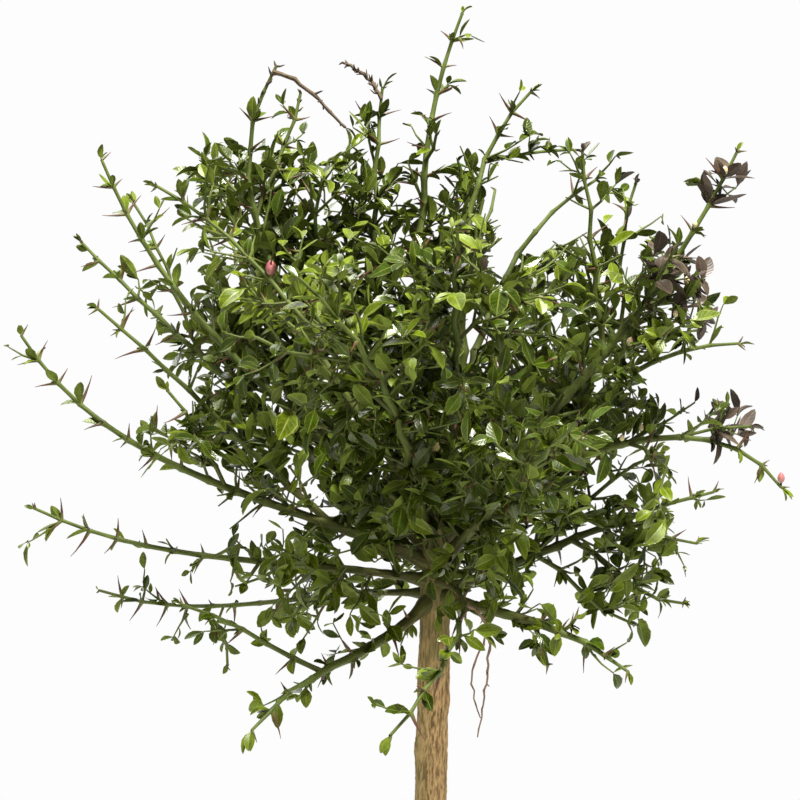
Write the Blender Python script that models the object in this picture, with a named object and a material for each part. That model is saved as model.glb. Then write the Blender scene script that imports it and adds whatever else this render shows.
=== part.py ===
"""Finger lime tree: a clear stem with a round, thorny crown of small leaves.

The trunk is one solid, cut flat at the ground. Each bough is a tapering limb that leaves the head of the
trunk and ends where its mass of foliage begins. A mass is a leading shoot, sometimes with side shoots,
that bears twigs, thorns and leaves, all fused into one solid. It keeps to its own space: every point of it
is nearer to its own shoots than to those of any other mass. The leaves are fewer and larger than life.

Units are metres and degrees, +Z is up, and the origin is the centre of the flat cut at the ground. A
heading is a pair: the turn from +X towards +Y, and the pitch above level.
"""

import math
import random

import bmesh
import bpy
from mathutils import Quaternion, Vector
from mathutils.kdtree import KDTree

GAP = 0.0003
SEED = 11

# Trunk: radius at each height, from the flare at the ground to the top of the head.
TRUNK_RADII = (
    (0.000, 0.0185),
    (0.012, 0.0162),
    (0.030, 0.0142),
    (0.060, 0.0131),
    (0.120, 0.0126),
    (0.190, 0.0122),
    (0.250, 0.0120),
    (0.310, 0.0118),
    (0.370, 0.0117),
    (0.420, 0.0116),
    (0.452, 0.0110),
    (0.466, 0.0101),
    (0.480, 0.0092),
    (0.500, 0.0086),
    (0.520, 0.0080),
    (0.545, 0.0071),
    (0.578, 0.0058),
)
TRUNK_SIDES = 14
TRUNK_LEAN = 0.005
TRUNK_SWAY = 0.0008
TRUNK_SWAYS = 1.6
FLARE_LOBES = 5
FLARE_DEPTH = 0.0016
FLARE_HEIGHT = 0.030

# Boughs: where they sit on the head of the trunk, and how thick they are.
HEAD_LOW = 0.452
HEAD_STEP = 0.003
SEAT_SPACING = 0.0122
BOUGH_LENGTH = 0.060
BOUGH_RADIUS = 0.0047
BOUGH_SIDES = 7
BOUGH_RING_STEP = 0.022

# Shoots: the stem of each mass.
SHOOT_RADIUS = 0.0037
SHOOT_TIP_RADIUS = 0.0011
SHOOT_SIDES = 4
NODE_STEP = 0.0260
SIDE_SHOOT_SHARE = 0.8
KINK = 0.0011
HANDLE = 0.36

# Every limb: its tip, its heading at the trunk and its heading at the tip.
LIMBS = {
    "left": ((-0.301, -0.040, 0.645), (188, 25), (186, 58)),
    "left_low": ((-0.287, -0.070, 0.519), (196, 12), (192, 26)),
    "left_drop": ((-0.126, -0.140, 0.367), (222, -40), (230, -38)),
    "back_left_low": ((-0.265, 0.150, 0.444), (150, 2), (152, 14)),
    "left_high": ((-0.243, -0.030, 0.775), (186, 42), (188, 68)),
    "back_left": ((-0.272, 0.090, 0.721), (160, 38), (164, 44)),
    "top_left": ((-0.114, -0.030, 0.844), (202, 54), (352, 58)),
    "top_back": ((-0.036, 0.050, 0.837), (146, 62), (0, 84)),
    "top": ((0.024, 0.000, 0.887), (180, 84), (0, 68)),
    "top_right": ((0.077, 0.030, 0.832), (346, 68), (12, 44)),
    "front_left": ((-0.090, -0.220, 0.679), (250, 48), (200, 42)),
    "front_up": ((0.016, -0.200, 0.712), (290, 52), (272, 50)),
    "front_right": ((0.094, -0.250, 0.584), (300, 32), (292, 24)),
    "right_upper": ((0.224, -0.050, 0.779), (338, 42), (352, 64)),
    "back_right_up": ((0.132, 0.100, 0.771), (62, 58), (8, 30)),
    "right": ((0.238, 0.050, 0.641), (20, 40), (4, 0)),
    "right_mid": ((0.259, -0.030, 0.533), (352, 40), (352, -56)),
    "right_low_back": ((0.228, 0.130, 0.524), (32, 14), (26, 10)),
    "right_low": ((0.140, -0.100, 0.404), (328, -14), (322, -32)),
    "front_drop": ((-0.029, -0.190, 0.370), (298, 2), (200, -46)),
    "back_up": ((0.056, 0.200, 0.771), (88, 56), (64, 56)),
    "back_left_up": ((-0.119, 0.240, 0.681), (122, 44), (112, 38)),
    "back_right": ((0.132, 0.220, 0.656), (64, 36), (56, 34)),
    "back": ((0.005, 0.270, 0.548), (94, 14), (88, 22)),
}
TOP_LIMB = "top"

# Side shoots: the mass, the share of its path where the shoot leaves, and then as for a limb.
SIDE_SHOOTS = (
    ("left", 0.04, (-0.239, -0.090, 0.663), (192, 40), (186, 40)),
    ("left_drop", 0.40, (-0.176, -0.120, 0.453), (180, 22), (176, 14)),
    ("back_left", 0.42, (-0.180, 0.170, 0.700), (140, 40), (146, 36)),
    ("top_left", 0.62, (-0.097, 0.000, 0.828), (40, 70), (330, 78)),
    ("top_left", 0.985, (-0.063, -0.030, 0.799), (0, -12), (0, -44)),
    ("top_back", 0.97, (-0.067, 0.050, 0.857), (180, 66), (184, 20)),
    ("top_right", 0.74, (0.111, 0.050, 0.790), (20, 14), (8, 2)),
    ("front_left", 0.42, (-0.196, -0.100, 0.750), (196, 38), (176, 28)),
    ("right_upper", 0.38, (0.110, -0.062, 0.779), (200, 82), (190, 82)),
    ("right", 0.56, (0.156, 0.020, 0.761), (350, 80), (14, 66)),
    ("right_low_back", 0.30, (0.198, 0.080, 0.439), (350, -24), (12, 2)),
    ("front_drop", 0.06, (0.033, -0.090, 0.356), (350, -14), (200, -84)),
    ("back", 0.40, (-0.110, 0.220, 0.505), (140, 4), (130, 14)),
)

# Flower buds: the mass, which of its shoots, and the share of the shoot's length where each sits.
BUDS = (
    ("front_left", 1, 0.55),
    ("front_left", 0, 0.45),
    ("right_mid", 0, 0.95),
    ("right_upper", 0, 0.72),
    ("right_upper", 0, 0.90),
    ("right_upper", 1, 0.40),
    ("left", 1, 0.42),
    ("front_right", 0, 0.60),
)
BUD_LENGTH = 0.0105
BUD_WIDTH = 0.0065
BUD_WIDEST = 0.6
BUD_LEAN = 0.4

# The dense part of the crown, where twigs are long. Outside it the shoots are nearly bare.
CROWN_CENTRE = Vector((0.002, 0.000, 0.610))
CROWN_RADII = Vector((0.176, 0.190, 0.168))
CROWN_SQUARENESS = 3
CROWN_EDGE = 0.24

# Gaps in the crown, seen from the front: the middle (x, z) and the radius of each.
SKY_GAPS = (((0.068, 0.748), 0.040), ((0.169, 0.745), 0.022))

# Twigs and thorns.
TWIG_LENGTH = 0.062
TWIG_SHORT = 0.016
TWIG_RADIUS = 0.0014
TWIG_NECK = 0.6
TWIG_WANDER = 10
TWIG_SPLIT = 60
TWIG_LIFT = 0.14
TWIG_ROOM = 0.040
TWIGS_MOST = 3
THORN_LENGTH = 0.015
THORN_RADIUS = 0.0011
THORN_SPLIT = 74
THORN_EVERY = 3

# Leaves, near life size on the bare shoots and larger than life inside the crown.
LEAF_LENGTH = 0.024
LEAF_LENGTH_INSIDE = 0.043
LEAF_WIDTH_SHARE = 0.47
LEAF_THICKNESS = 0.0014
LEAF_SUNK = 0.0009
LEAF_SPLIT = 50
LEAF_STEP = 0.046
LEAF_WIDEST = 0.48
LEAF_ROOM = 0.004
LEAF_FLOP = 0.8
TRIES = 5
SHRINK = 0.9

CLEARANCE = 0.0011
SAMPLE_STEP = 0.003
GOLDEN_TURN = math.radians(137.5)
UP = Vector((0, 0, 1))
TRIANGLE_RISE = 0.87

COLOURS = {
    "bark": (0.335, 0.235, 0.118, 1),
    "limb": (0.060, 0.105, 0.030, 1),
    "foliage": (0.030, 0.085, 0.018, 1),
}


def clear_scene():
    for obj in list(bpy.data.objects):
        bpy.data.objects.remove(obj, do_unlink=True)


def material(name, colour, roughness):
    made = bpy.data.materials.new(name)
    made.use_nodes = True
    shader = made.node_tree.nodes["Principled BSDF"]
    shader.inputs["Base Color"].default_value = colour
    shader.inputs["Roughness"].default_value = roughness
    shader.inputs["Metallic"].default_value = 0.0
    return made


def heading(pair):
    """The unit vector of a heading: a turn from +X towards +Y, and a pitch."""
    turn, pitch = (math.radians(angle) for angle in pair)
    return Vector((math.cos(turn) * math.cos(pitch), math.sin(turn) * math.cos(pitch), math.sin(pitch)))


def trunk_centre(height):
    """The trunk's centre line: a slight sway up the clear stem, and a lean under the head."""
    share = height / TRUNK_RADII[-1][0]
    sway = TRUNK_SWAY * math.sin(math.tau * TRUNK_SWAYS * share)
    return Vector((TRUNK_LEAN * share**2 + sway, sway * 0.5, height))


def trunk_radius(height):
    for (low, wide), (high, narrow) in zip(TRUNK_RADII, TRUNK_RADII[1:]):
        if height <= high:
            return wide + (narrow - wide) * (height - low) / (high - low)
    return TRUNK_RADII[-1][1]


class Path:
    """A cubic curve from one point to another, read by its length."""

    STEPS = 96

    def __init__(self, base, tip, start, end):
        reach = (tip - base).length * HANDLE
        near = base + heading(start) * reach
        far = tip - heading(end) * reach
        self.points = []
        for i in range(self.STEPS + 1):
            t = i / self.STEPS
            s = 1 - t
            self.points.append(base * s**3 + near * 3 * s * s * t + far * 3 * s * t * t + tip * t**3)
        self.marks = [0.0]
        for before, after in zip(self.points, self.points[1:]):
            self.marks.append(self.marks[-1] + (after - before).length)
        self.length = self.marks[-1]

    def at(self, distance):
        """(point, tangent) at a distance along the curve."""
        distance = min(max(distance, 0.0), self.length)
        i = 0
        while i < self.STEPS - 1 and self.marks[i + 1] < distance:
            i += 1
        along = self.points[i + 1] - self.points[i]
        share = (distance - self.marks[i]) / (self.marks[i + 1] - self.marks[i])
        return self.points[i] + along * share, along.normalized()

    def samples(self, start, end, step):
        count = max(2, math.ceil((end - start) / step) + 1)
        return [self.at(start + (end - start) * i / (count - 1))[0] for i in range(count)]


def across(direction, roll):
    """A unit vector at right angles to the direction, turned about it by the roll."""
    side = direction.cross(UP)
    if side.length < 0.05:
        side = direction.cross(Vector((0, 1, 0)))
    return Quaternion(direction, roll) @ side.normalized()


def loft(rings):
    """(vertices, faces) of a closed shape through rings of points. A ring of one point closes an end."""
    vertices, faces, spans = [], [], []
    for ring in rings:
        spans.append([len(vertices) + i for i in range(len(ring))])
        vertices += ring
    sides = max(len(span) for span in spans)
    for low, high in zip(spans, spans[1:]):
        for i in range(sides):
            j = (i + 1) % sides
            corners = [low[i % len(low)], low[j % len(low)], high[j % len(high)], high[i % len(high)]]
            faces.append(list(dict.fromkeys(corners)))
    for span in (spans[0][::-1], spans[-1]):
        if len(span) == sides:
            faces.append(span)
    return vertices, faces


def tube(points, radii, sides):
    """A closed round stem along a line of points. A radius of zero closes an end to a point."""
    tangents = [points[1] - points[0]]
    tangents += [after - before for before, after in zip(points, points[2:])]
    tangents.append(points[-1] - points[-2])
    side = across(tangents[0].normalized(), 0)
    rings = []
    for point, tangent, radius in zip(points, tangents, radii):
        tangent = tangent.normalized()
        side = (side - tangent * side.dot(tangent)).normalized()
        ring = [point + Quaternion(tangent, math.tau * i / sides) @ side * radius for i in range(sides)]
        rings.append(ring if radius else [point])
    return loft(rings)


def three_sided(point, side, lift, half_width, thickness):
    """The three corners of a cross-section: flat below and raised in the middle."""
    low = point - lift * thickness / 3
    return [low - side * half_width, low + side * half_width, low + lift * thickness]


def blade(root, direction, side, lift, length):
    """The rings of a leaf beyond its root: its widest part and its tip."""
    middle = root + direction * length * LEAF_WIDEST
    half_width = length * LEAF_WIDTH_SHARE / 2
    return [three_sided(middle, side, lift, half_width, LEAF_THICKNESS), [root + direction * length]]


def add_object(name, shape, paint, collection=None):
    vertices, faces = shape
    mesh = bpy.data.meshes.new(name)
    mesh.from_pydata(vertices, [], faces)
    shell = bmesh.new()
    shell.from_mesh(mesh)
    bmesh.ops.recalc_face_normals(shell, faces=shell.faces)
    shell.to_mesh(mesh)
    shell.free()
    mesh.materials.append(paint)
    obj = bpy.data.objects.new(name, mesh)
    (collection or bpy.context.scene.collection).objects.link(obj)
    return obj


def trunk_shape(growth):
    """The trunk's rings from the ground up, each grown outwards by the same amount."""
    vertices, faces = [], []
    for height, radius_here in TRUNK_RADII:
        centre = trunk_centre(height)
        lobe = FLARE_DEPTH * math.exp(-height / FLARE_HEIGHT)
        for i in range(TRUNK_SIDES):
            turn = math.tau * i / TRUNK_SIDES
            radius = radius_here + growth + lobe * math.cos(FLARE_LOBES * turn)
            vertices.append(centre + Vector((math.cos(turn), math.sin(turn), 0)) * radius)
    for i in range(TRUNK_SIDES):
        vertices[i].z -= growth
        vertices[-1 - i].z += growth
    for ring in range(len(TRUNK_RADII) - 1):
        for i in range(TRUNK_SIDES):
            j = (i + 1) % TRUNK_SIDES
            low, high = ring * TRUNK_SIDES, (ring + 1) * TRUNK_SIDES
            faces.append((low + i, low + j, high + j, high + i))
    faces.append(range(TRUNK_SIDES))
    faces.append(range(len(vertices) - TRUNK_SIDES, len(vertices)))
    return vertices, faces


def seat_distance(height, start):
    """How far a limb runs inside the trunk before it comes out of the bark."""
    return trunk_radius(height) / math.cos(math.radians(start[1]))


def seat_heights():
    """A height on the head for each limb: flattest lowest, each clear of those already seated."""
    seated, heights = [], {}
    for name, (_, start, _) in sorted(LIMBS.items(), key=lambda item: item[1][1][1]):
        if name == TOP_LIMB:
            heights[name] = TRUNK_RADII[-1][0] - BOUGH_RADIUS
            continue
        height = HEAD_LOW
        while True:
            spot = trunk_centre(height) + heading(start) * seat_distance(height, start)
            if all((spot - other).length >= SEAT_SPACING for other in seated):
                break
            height += HEAD_STEP
        seated.append(spot)
        heights[name] = height
    return heights


class Shoot:
    """A shoot of a mass: its path, where it starts and how thick it is there."""

    def __init__(self, path, begin, radius):
        self.path = path
        self.begin = begin
        self.radius = radius

    def thickness(self, distance):
        share = (distance - self.begin) / (self.path.length - self.begin)
        return self.radius + (SHOOT_TIP_RADIUS - self.radius) * share**0.8

    def samples(self):
        return self.path.samples(self.begin, self.path.length, SAMPLE_STEP)

    def nodes(self):
        """Evenly spaced distances of the nodes, from the start of the shoot to its tip."""
        span = self.path.length - self.begin
        count = max(2, round(span / NODE_STEP))
        return [self.begin + span * i / count for i in range(count + 1)]

    def kinked(self, distances):
        """The shoot's line, bent a little to and fro at its nodes."""
        points = []
        for i, distance in enumerate(distances):
            point, tangent = self.path.at(distance)
            inner = 0 < i < len(distances) - 1
            points.append(point + across(tangent, i * math.pi) * (KINK if inner else 0))
        return points


def plan_shoots():
    """The path of each limb, and the shoots of each mass."""
    heights = seat_heights()
    limbs, masses = {}, {}
    for name, (tip, start, end) in LIMBS.items():
        path = Path(trunk_centre(heights[name]), Vector(tip), start, end)
        seat = BOUGH_RADIUS if name == TOP_LIMB else seat_distance(heights[name], start)
        limbs[name] = (path, seat)
        masses[name] = [Shoot(path, seat + BOUGH_LENGTH + GAP, SHOOT_RADIUS)]
    for name, share, tip, start, end in SIDE_SHOOTS:
        stem = masses[name][0]
        fork = stem.begin + (stem.path.length - stem.begin) * share
        path = Path(stem.path.at(fork)[0], Vector(tip), start, end)
        masses[name].append(Shoot(path, 0.0, stem.thickness(fork) * SIDE_SHOOT_SHARE))
    return limbs, masses


class Space:
    """Which points belong to a mass, and how far they are from every limb."""

    def __init__(self, limbs, masses):
        lines = {name: [p for shoot in shoots for p in shoot.samples()] for name, shoots in masses.items()}
        self.own = {name: self.tree(points) for name, points in lines.items()}
        self.others = {
            name: self.tree([p for other, points in lines.items() if other != name for p in points])
            for name in lines
        }
        wood = []
        for path, seat in limbs.values():
            wood += [(p, BOUGH_RADIUS) for p in path.samples(seat, seat + BOUGH_LENGTH, SAMPLE_STEP)]
        height = 0.0
        while height < TRUNK_RADII[-1][0]:
            wood.append((trunk_centre(height), trunk_radius(height)))
            height += SAMPLE_STEP
        self.wood = self.tree([point for point, _ in wood])
        self.girth = [radius for _, radius in wood]

    @staticmethod
    def tree(points):
        made = KDTree(len(points))
        for i, point in enumerate(points):
            made.insert(point, i)
        made.balance()
        return made

    def room(self, name, point):
        """How far the nearest shoot of another mass is."""
        return self.others[name].find(point)[2]

    def holds(self, name, points):
        reach = TRUNK_RADII[0][1] + CLEARANCE
        for point in points:
            if any(math.dist((point.x, point.z), middle) < radius for middle, radius in SKY_GAPS):
                return False
            if self.others[name].find(point)[2] - self.own[name].find(point)[2] < 2 * CLEARANCE:
                return False
            for _, index, distance in self.wood.find_range(point, reach):
                if distance < self.girth[index] + CLEARANCE:
                    return False
        return True


def density(point):
    """1 inside the dense crown, 0 well outside it."""
    offset = point - CROWN_CENTRE
    parts = [abs(offset[i] / CROWN_RADII[i]) ** CROWN_SQUARENESS for i in range(3)]
    depth = sum(parts) ** (1 / CROWN_SQUARENESS)
    return min(1.0, max(0.0, (1 + CROWN_EDGE / 2 - depth) / CROWN_EDGE))


def between(points, steps=3):
    """The points of a line of corners, with more set evenly between them."""
    dense = [points[0]]
    for before, after in zip(points, points[1:]):
        dense += [before.lerp(after, i / steps) for i in range(1, steps + 1)]
    return dense


class Mass:
    """Grows the twigs, thorns and leaves of one mass, and keeps those that its space holds."""

    def __init__(self, name, shoots, space, seed):
        self.name = name
        self.shoots = shoots
        self.space = space
        self.dice = random.Random(seed)
        self.shapes = []
        self.taken = []

    def frame(self, direction):
        """Two axes across a leaf or twig: its side, and the way its upper face looks."""
        normal = (UP + across(direction, self.dice.uniform(0, math.tau)) * LEAF_FLOP).normalized()
        side = direction.cross(normal).normalized()
        return side, side.cross(direction)

    def leaf_length(self, point):
        inside = density(point)
        return (LEAF_LENGTH + (LEAF_LENGTH_INSIDE - LEAF_LENGTH) * inside) * self.dice.uniform(0.85, 1.1)

    def keep(self, rings):
        """Adds a shape if the space holds it and its outer part is clear of its neighbours."""
        line = between([sum(ring, Vector()) / len(ring) for ring in rings])
        corners = [point for ring in rings[1:] for point in ring]
        outer = line[2:] + corners
        if not self.space.holds(self.name, line + corners):
            return False
        if any((point - other).length < LEAF_ROOM for point in outer for other in self.taken):
            return False
        self.taken += outer
        self.shapes.append(loft(rings))
        return True

    def add_leaf(self, point, tangent, roll):
        """A leaf on a twig or shoot, turned about it until there is room."""
        split = math.radians(LEAF_SPLIT)
        length = self.leaf_length(point)
        for attempt in range(TRIES):
            side_on = across(tangent, roll + attempt * GOLDEN_TURN)
            direction = tangent * math.cos(split) + side_on * math.sin(split)
            side, lift = self.frame(direction)
            root = point - direction * LEAF_SUNK
            if self.keep([[root]] + blade(root, direction, side, lift, length)):
                return
            length *= SHRINK

    def add_thorn(self, point, tangent, roll):
        split = math.radians(THORN_SPLIT)
        direction = tangent * math.cos(split) + across(tangent, roll) * math.sin(split)
        side, lift = self.frame(direction)
        base = three_sided(point, side, lift, THORN_RADIUS, THORN_RADIUS * 2)
        self.keep([base, [point + direction * THORN_LENGTH]])

    def add_bud(self, shoot, share):
        """A plump bud that stands up from a shoot."""
        distance = shoot.begin + (shoot.path.length - shoot.begin) * share
        point, tangent = shoot.path.at(distance)
        direction = (tangent * BUD_LEAN + UP).normalized()
        side, lift = self.frame(direction)
        base = three_sided(point, side, lift, TWIG_RADIUS, TWIG_RADIUS * 2)
        middle = point + direction * BUD_LENGTH * BUD_WIDEST
        widest = three_sided(middle, side, lift, BUD_WIDTH / 2, BUD_WIDTH * TRIANGLE_RISE)
        self.keep([base, widest, [point + direction * BUD_LENGTH]])

    def add_twig(self, point, tangent, roll, length):
        """A three-sided twig that ends in a leaf, with more leaves along it."""
        split = math.radians(TWIG_SPLIT + self.dice.uniform(-TWIG_WANDER, TWIG_WANDER))
        direction = tangent * math.cos(split) + across(tangent, roll) * math.sin(split) + UP * TWIG_LIFT
        direction.normalize()
        tip = point + direction * length
        rise = (direction + UP * TWIG_LIFT).normalized()
        side, lift = self.frame(rise)
        base = three_sided(point, side, lift, TWIG_RADIUS, TWIG_RADIUS * 2)
        neck = three_sided(tip, side, lift, TWIG_RADIUS * TWIG_NECK, TWIG_RADIUS * TWIG_NECK * 2)
        if not self.keep([base, neck] + blade(tip, rise, side, lift, self.leaf_length(tip))):
            return False
        roll = self.dice.uniform(0, math.tau)
        distance = LEAF_STEP * 0.5
        while distance < length:
            self.add_leaf(point.lerp(tip, distance / length), direction, roll)
            roll += math.pi + self.dice.uniform(-0.6, 0.6)
            distance += LEAF_STEP
        return True

    def grow(self, shoot, first):
        """Sets a twig, a leaf or a thorn at the nodes of a shoot, and a leaf at its tip."""
        roll = self.dice.uniform(0, math.tau)
        marks = shoot.nodes()
        for i, (distance, point) in enumerate(zip(marks[first:-1], shoot.kinked(marks)[first:-1])):
            tangent = shoot.path.at(distance)[1]
            roll += GOLDEN_TURN
            fill = density(point)
            length = TWIG_SHORT + (TWIG_LENGTH - TWIG_SHORT) * fill
            wanted = math.ceil(fill * min(TWIGS_MOST, self.space.room(self.name, point) / TWIG_ROOM) - 0.5)
            grown = 0
            for attempt in range(TRIES):
                if grown < wanted:
                    grown += self.add_twig(point, tangent, roll + attempt * GOLDEN_TURN, length)
                    length *= SHRINK
            if not grown:
                self.add_leaf(point, tangent, roll)
            if fill < 1 and i % THORN_EVERY == 0:
                self.add_thorn(point, tangent, roll + math.pi)
        point, tangent = shoot.path.at(shoot.path.length - LEAF_LENGTH * 0.3)
        self.add_leaf(point, tangent, roll)

    def build(self, paint):
        """One solid: the leading shoot, with everything that grows on it fused on."""
        for name, number, share in BUDS:
            if name == self.name:
                self.add_bud(self.shoots[number], share)
        for i, shoot in enumerate(self.shoots):
            self.grow(shoot, 1 if i else 0)
        stems = []
        for shoot in self.shoots:
            marks = shoot.nodes()
            radii = [shoot.thickness(mark) for mark in marks]
            stems.append(tube(shoot.kinked(marks), radii, SHOOT_SIDES))
        obj = add_object(self.name + "_foliage", stems[0], paint)
        fuse(obj, stems[1:] + self.shapes, paint)
        return obj


def fuse(obj, shapes, paint):
    """Joins closed shapes to an object by one Boolean union, and keeps the one body they make."""
    collection = bpy.data.collections.new(obj.name + "_pieces")
    bpy.context.scene.collection.children.link(collection)
    for i, shape in enumerate(shapes):
        add_object(f"{obj.name}_piece_{i}", shape, paint, collection)
    union = obj.modifiers.new("union", "BOOLEAN")
    union.operation = "UNION"
    union.operand_type = "COLLECTION"
    union.collection = collection
    union.solver = "EXACT"
    graph = bpy.context.evaluated_depsgraph_get()
    mesh = bpy.data.meshes.new_from_object(obj.evaluated_get(graph))
    obj.modifiers.clear()
    obj.data = mesh
    for piece in list(collection.objects):
        bpy.data.objects.remove(piece, do_unlink=True)
    bpy.data.collections.remove(collection)
    keep_largest_shell(mesh)


def keep_largest_shell(mesh):
    """Drops loose scraps, and fills a hollow by dropping the shell that bounds it."""
    body = bmesh.new()
    body.from_mesh(mesh)
    left = set(body.faces)
    shells = []
    while left:
        stack = [left.pop()]
        shell = list(stack)
        while stack:
            for edge in stack.pop().edges:
                for face in edge.link_faces if len(edge.link_faces) == 2 else ():
                    if face in left:
                        left.remove(face)
                        stack.append(face)
                        shell.append(face)
        shells.append(shell)
    shells.sort(key=len)
    scraps = [face for shell in shells[:-1] for face in shell]
    bmesh.ops.delete(body, geom=scraps, context="FACES")
    body.to_mesh(mesh)
    body.free()


def build_trunk(paint):
    trunk = add_object("trunk", trunk_shape(0), paint)
    trunk.data.shade_smooth()
    trunk.data.set_sharp_from_angle(angle=math.radians(50))
    seat = add_object("seat_cutter", trunk_shape(GAP), paint)
    seat.hide_render = True
    seat.display_type = "WIRE"
    return seat


def build_bough(name, path, seat, cutter, paint):
    """A tapering limb, cut to sit on the trunk, with a flat end where its mass begins."""
    start = 0.0 if name != TOP_LIMB else BOUGH_RADIUS * 0.5
    end = seat + BOUGH_LENGTH
    count = round((end - start) / BOUGH_RING_STEP)
    marks = [start + (end - start) * i / count for i in range(count + 1)]
    radii = [BOUGH_RADIUS + (SHOOT_RADIUS - BOUGH_RADIUS) * mark / end for mark in marks]
    bough = add_object(name + "_bough", tube([path.at(mark)[0] for mark in marks], radii, BOUGH_SIDES), paint)
    cut = bough.modifiers.new("seat", "BOOLEAN")
    cut.operation = "DIFFERENCE"
    cut.object = cutter
    cut.solver = "EXACT"
    bough.data.shade_smooth()
    bough.data.set_sharp_from_angle(angle=math.radians(50))


def build():
    clear_scene()
    bark = material("bark", COLOURS["bark"], 0.85)
    limb = material("limb", COLOURS["limb"], 0.55)
    foliage = material("foliage", COLOURS["foliage"], 0.45)
    cutter = build_trunk(bark)
    limbs, masses = plan_shoots()
    space = Space(limbs, masses)
    for name, (path, seat) in limbs.items():
        build_bough(name, path, seat, cutter, limb)
    for i, (name, shoots) in enumerate(masses.items()):
        Mass(name, shoots, space, SEED + i).build(foliage)


build()
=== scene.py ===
"""Looks of the finger lime tree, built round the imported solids.

The limbs follow the same curves as the solids, and the same rule grows them on from there: shoots with a
kink, a thorn and a leaf at each node, and leafy twigs inside the dense part of the crown. Here the rule is
carried on to finer twigs and to leaves of life size. Units are metres and degrees, and +Z is up.
"""

import math
import random

import bpy
import numpy as np
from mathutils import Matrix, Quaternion, Vector, noise
from mathutils.kdtree import KDTree


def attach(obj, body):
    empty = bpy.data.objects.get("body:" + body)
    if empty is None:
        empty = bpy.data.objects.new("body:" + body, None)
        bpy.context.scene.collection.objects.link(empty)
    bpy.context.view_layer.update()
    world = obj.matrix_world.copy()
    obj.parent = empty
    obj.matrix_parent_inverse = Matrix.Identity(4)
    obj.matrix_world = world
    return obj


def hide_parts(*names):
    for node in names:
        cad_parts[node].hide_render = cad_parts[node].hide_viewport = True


SEED = 5

# ---------------------------------------------------------------- the trunk, the limbs and the crown

# The trunk's radius at each height. The trunk, the limbs and their side shoots run as in the solids.
TRUNK_RADII = (
    (0.0, 0.0185), (0.012, 0.0162), (0.03, 0.0142), (0.06, 0.0131), (0.12, 0.0126), (0.19, 0.0122),
    (0.25, 0.012), (0.31, 0.0118), (0.37, 0.0117), (0.42, 0.0116), (0.452, 0.011), (0.466, 0.0101),
    (0.48, 0.0092), (0.5, 0.0086), (0.52, 0.008), (0.545, 0.0071), (0.578, 0.0058),
)
TRUNK_LEAN = 0.005
TRUNK_SWAY = 0.0008
TRUNK_SWAYS = 1.6
TRUNK_SWAY_DEPTH = 0.5
FLARE_LOBES = 5
FLARE_DEPTH = 0.0016
FLARE_HEIGHT = 0.030

HEAD_LOW = 0.452
HEAD_STEP = 0.003
SEAT_SPACING = 0.0122
BOUGH_LENGTH = 0.060
SHOOT_RADIUS = 0.0037
SHOOT_TIP_RADIUS = 0.0011
SIDE_SHOOT_SHARE = 0.8
SHOOT_TAPER = 1.05
HANDLE = 0.36

# Every limb: its tip, its heading at the trunk and its heading at the tip.
LIMBS = {
    "left": ((-0.301, -0.040, 0.645), (188, 25), (186, 58)),
    "left_low": ((-0.287, -0.070, 0.519), (196, 12), (192, 26)),
    "left_drop": ((-0.126, -0.140, 0.367), (222, -40), (230, -38)),
    "back_left_low": ((-0.265, 0.150, 0.444), (150, 2), (152, 14)),
    "left_high": ((-0.243, -0.030, 0.775), (186, 42), (188, 68)),
    "back_left": ((-0.272, 0.090, 0.721), (160, 38), (164, 44)),
    "top_left": ((-0.114, -0.030, 0.844), (202, 54), (352, 58)),
    "top_back": ((-0.036, 0.050, 0.837), (146, 62), (0, 84)),
    "top": ((0.024, 0.000, 0.887), (180, 84), (0, 68)),
    "top_right": ((0.077, 0.030, 0.832), (346, 68), (12, 44)),
    "front_left": ((-0.090, -0.220, 0.679), (250, 48), (200, 42)),
    "front_up": ((0.016, -0.200, 0.712), (290, 52), (272, 50)),
    "front_right": ((0.094, -0.250, 0.584), (300, 32), (292, 24)),
    "right_upper": ((0.224, -0.050, 0.779), (338, 42), (352, 64)),
    "back_right_up": ((0.132, 0.100, 0.771), (62, 58), (8, 30)),
    "right": ((0.238, 0.050, 0.641), (20, 40), (4, 0)),
    "right_mid": ((0.259, -0.030, 0.533), (352, 40), (352, -56)),
    "right_low_back": ((0.228, 0.130, 0.524), (32, 14), (26, 10)),
    "right_low": ((0.140, -0.100, 0.404), (328, -14), (322, -32)),
    "front_drop": ((-0.029, -0.190, 0.370), (298, 2), (200, -46)),
    "back_up": ((0.056, 0.200, 0.771), (88, 56), (64, 56)),
    "back_left_up": ((-0.119, 0.240, 0.681), (122, 44), (112, 38)),
    "back_right": ((0.132, 0.220, 0.656), (64, 36), (56, 34)),
    "back": ((0.005, 0.270, 0.548), (94, 14), (88, 22)),
}
TOP_LIMB = "top"

# The boughs are 0.5 mm slimmer here than in the solids, and these limbs have this share of their girth there.
BOUGH_RADIUS = 0.0042
SLIM = {"front_drop": 0.62, "left_low": 0.78, "back_left_low": 0.62, "right_upper": 1.12}

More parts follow.
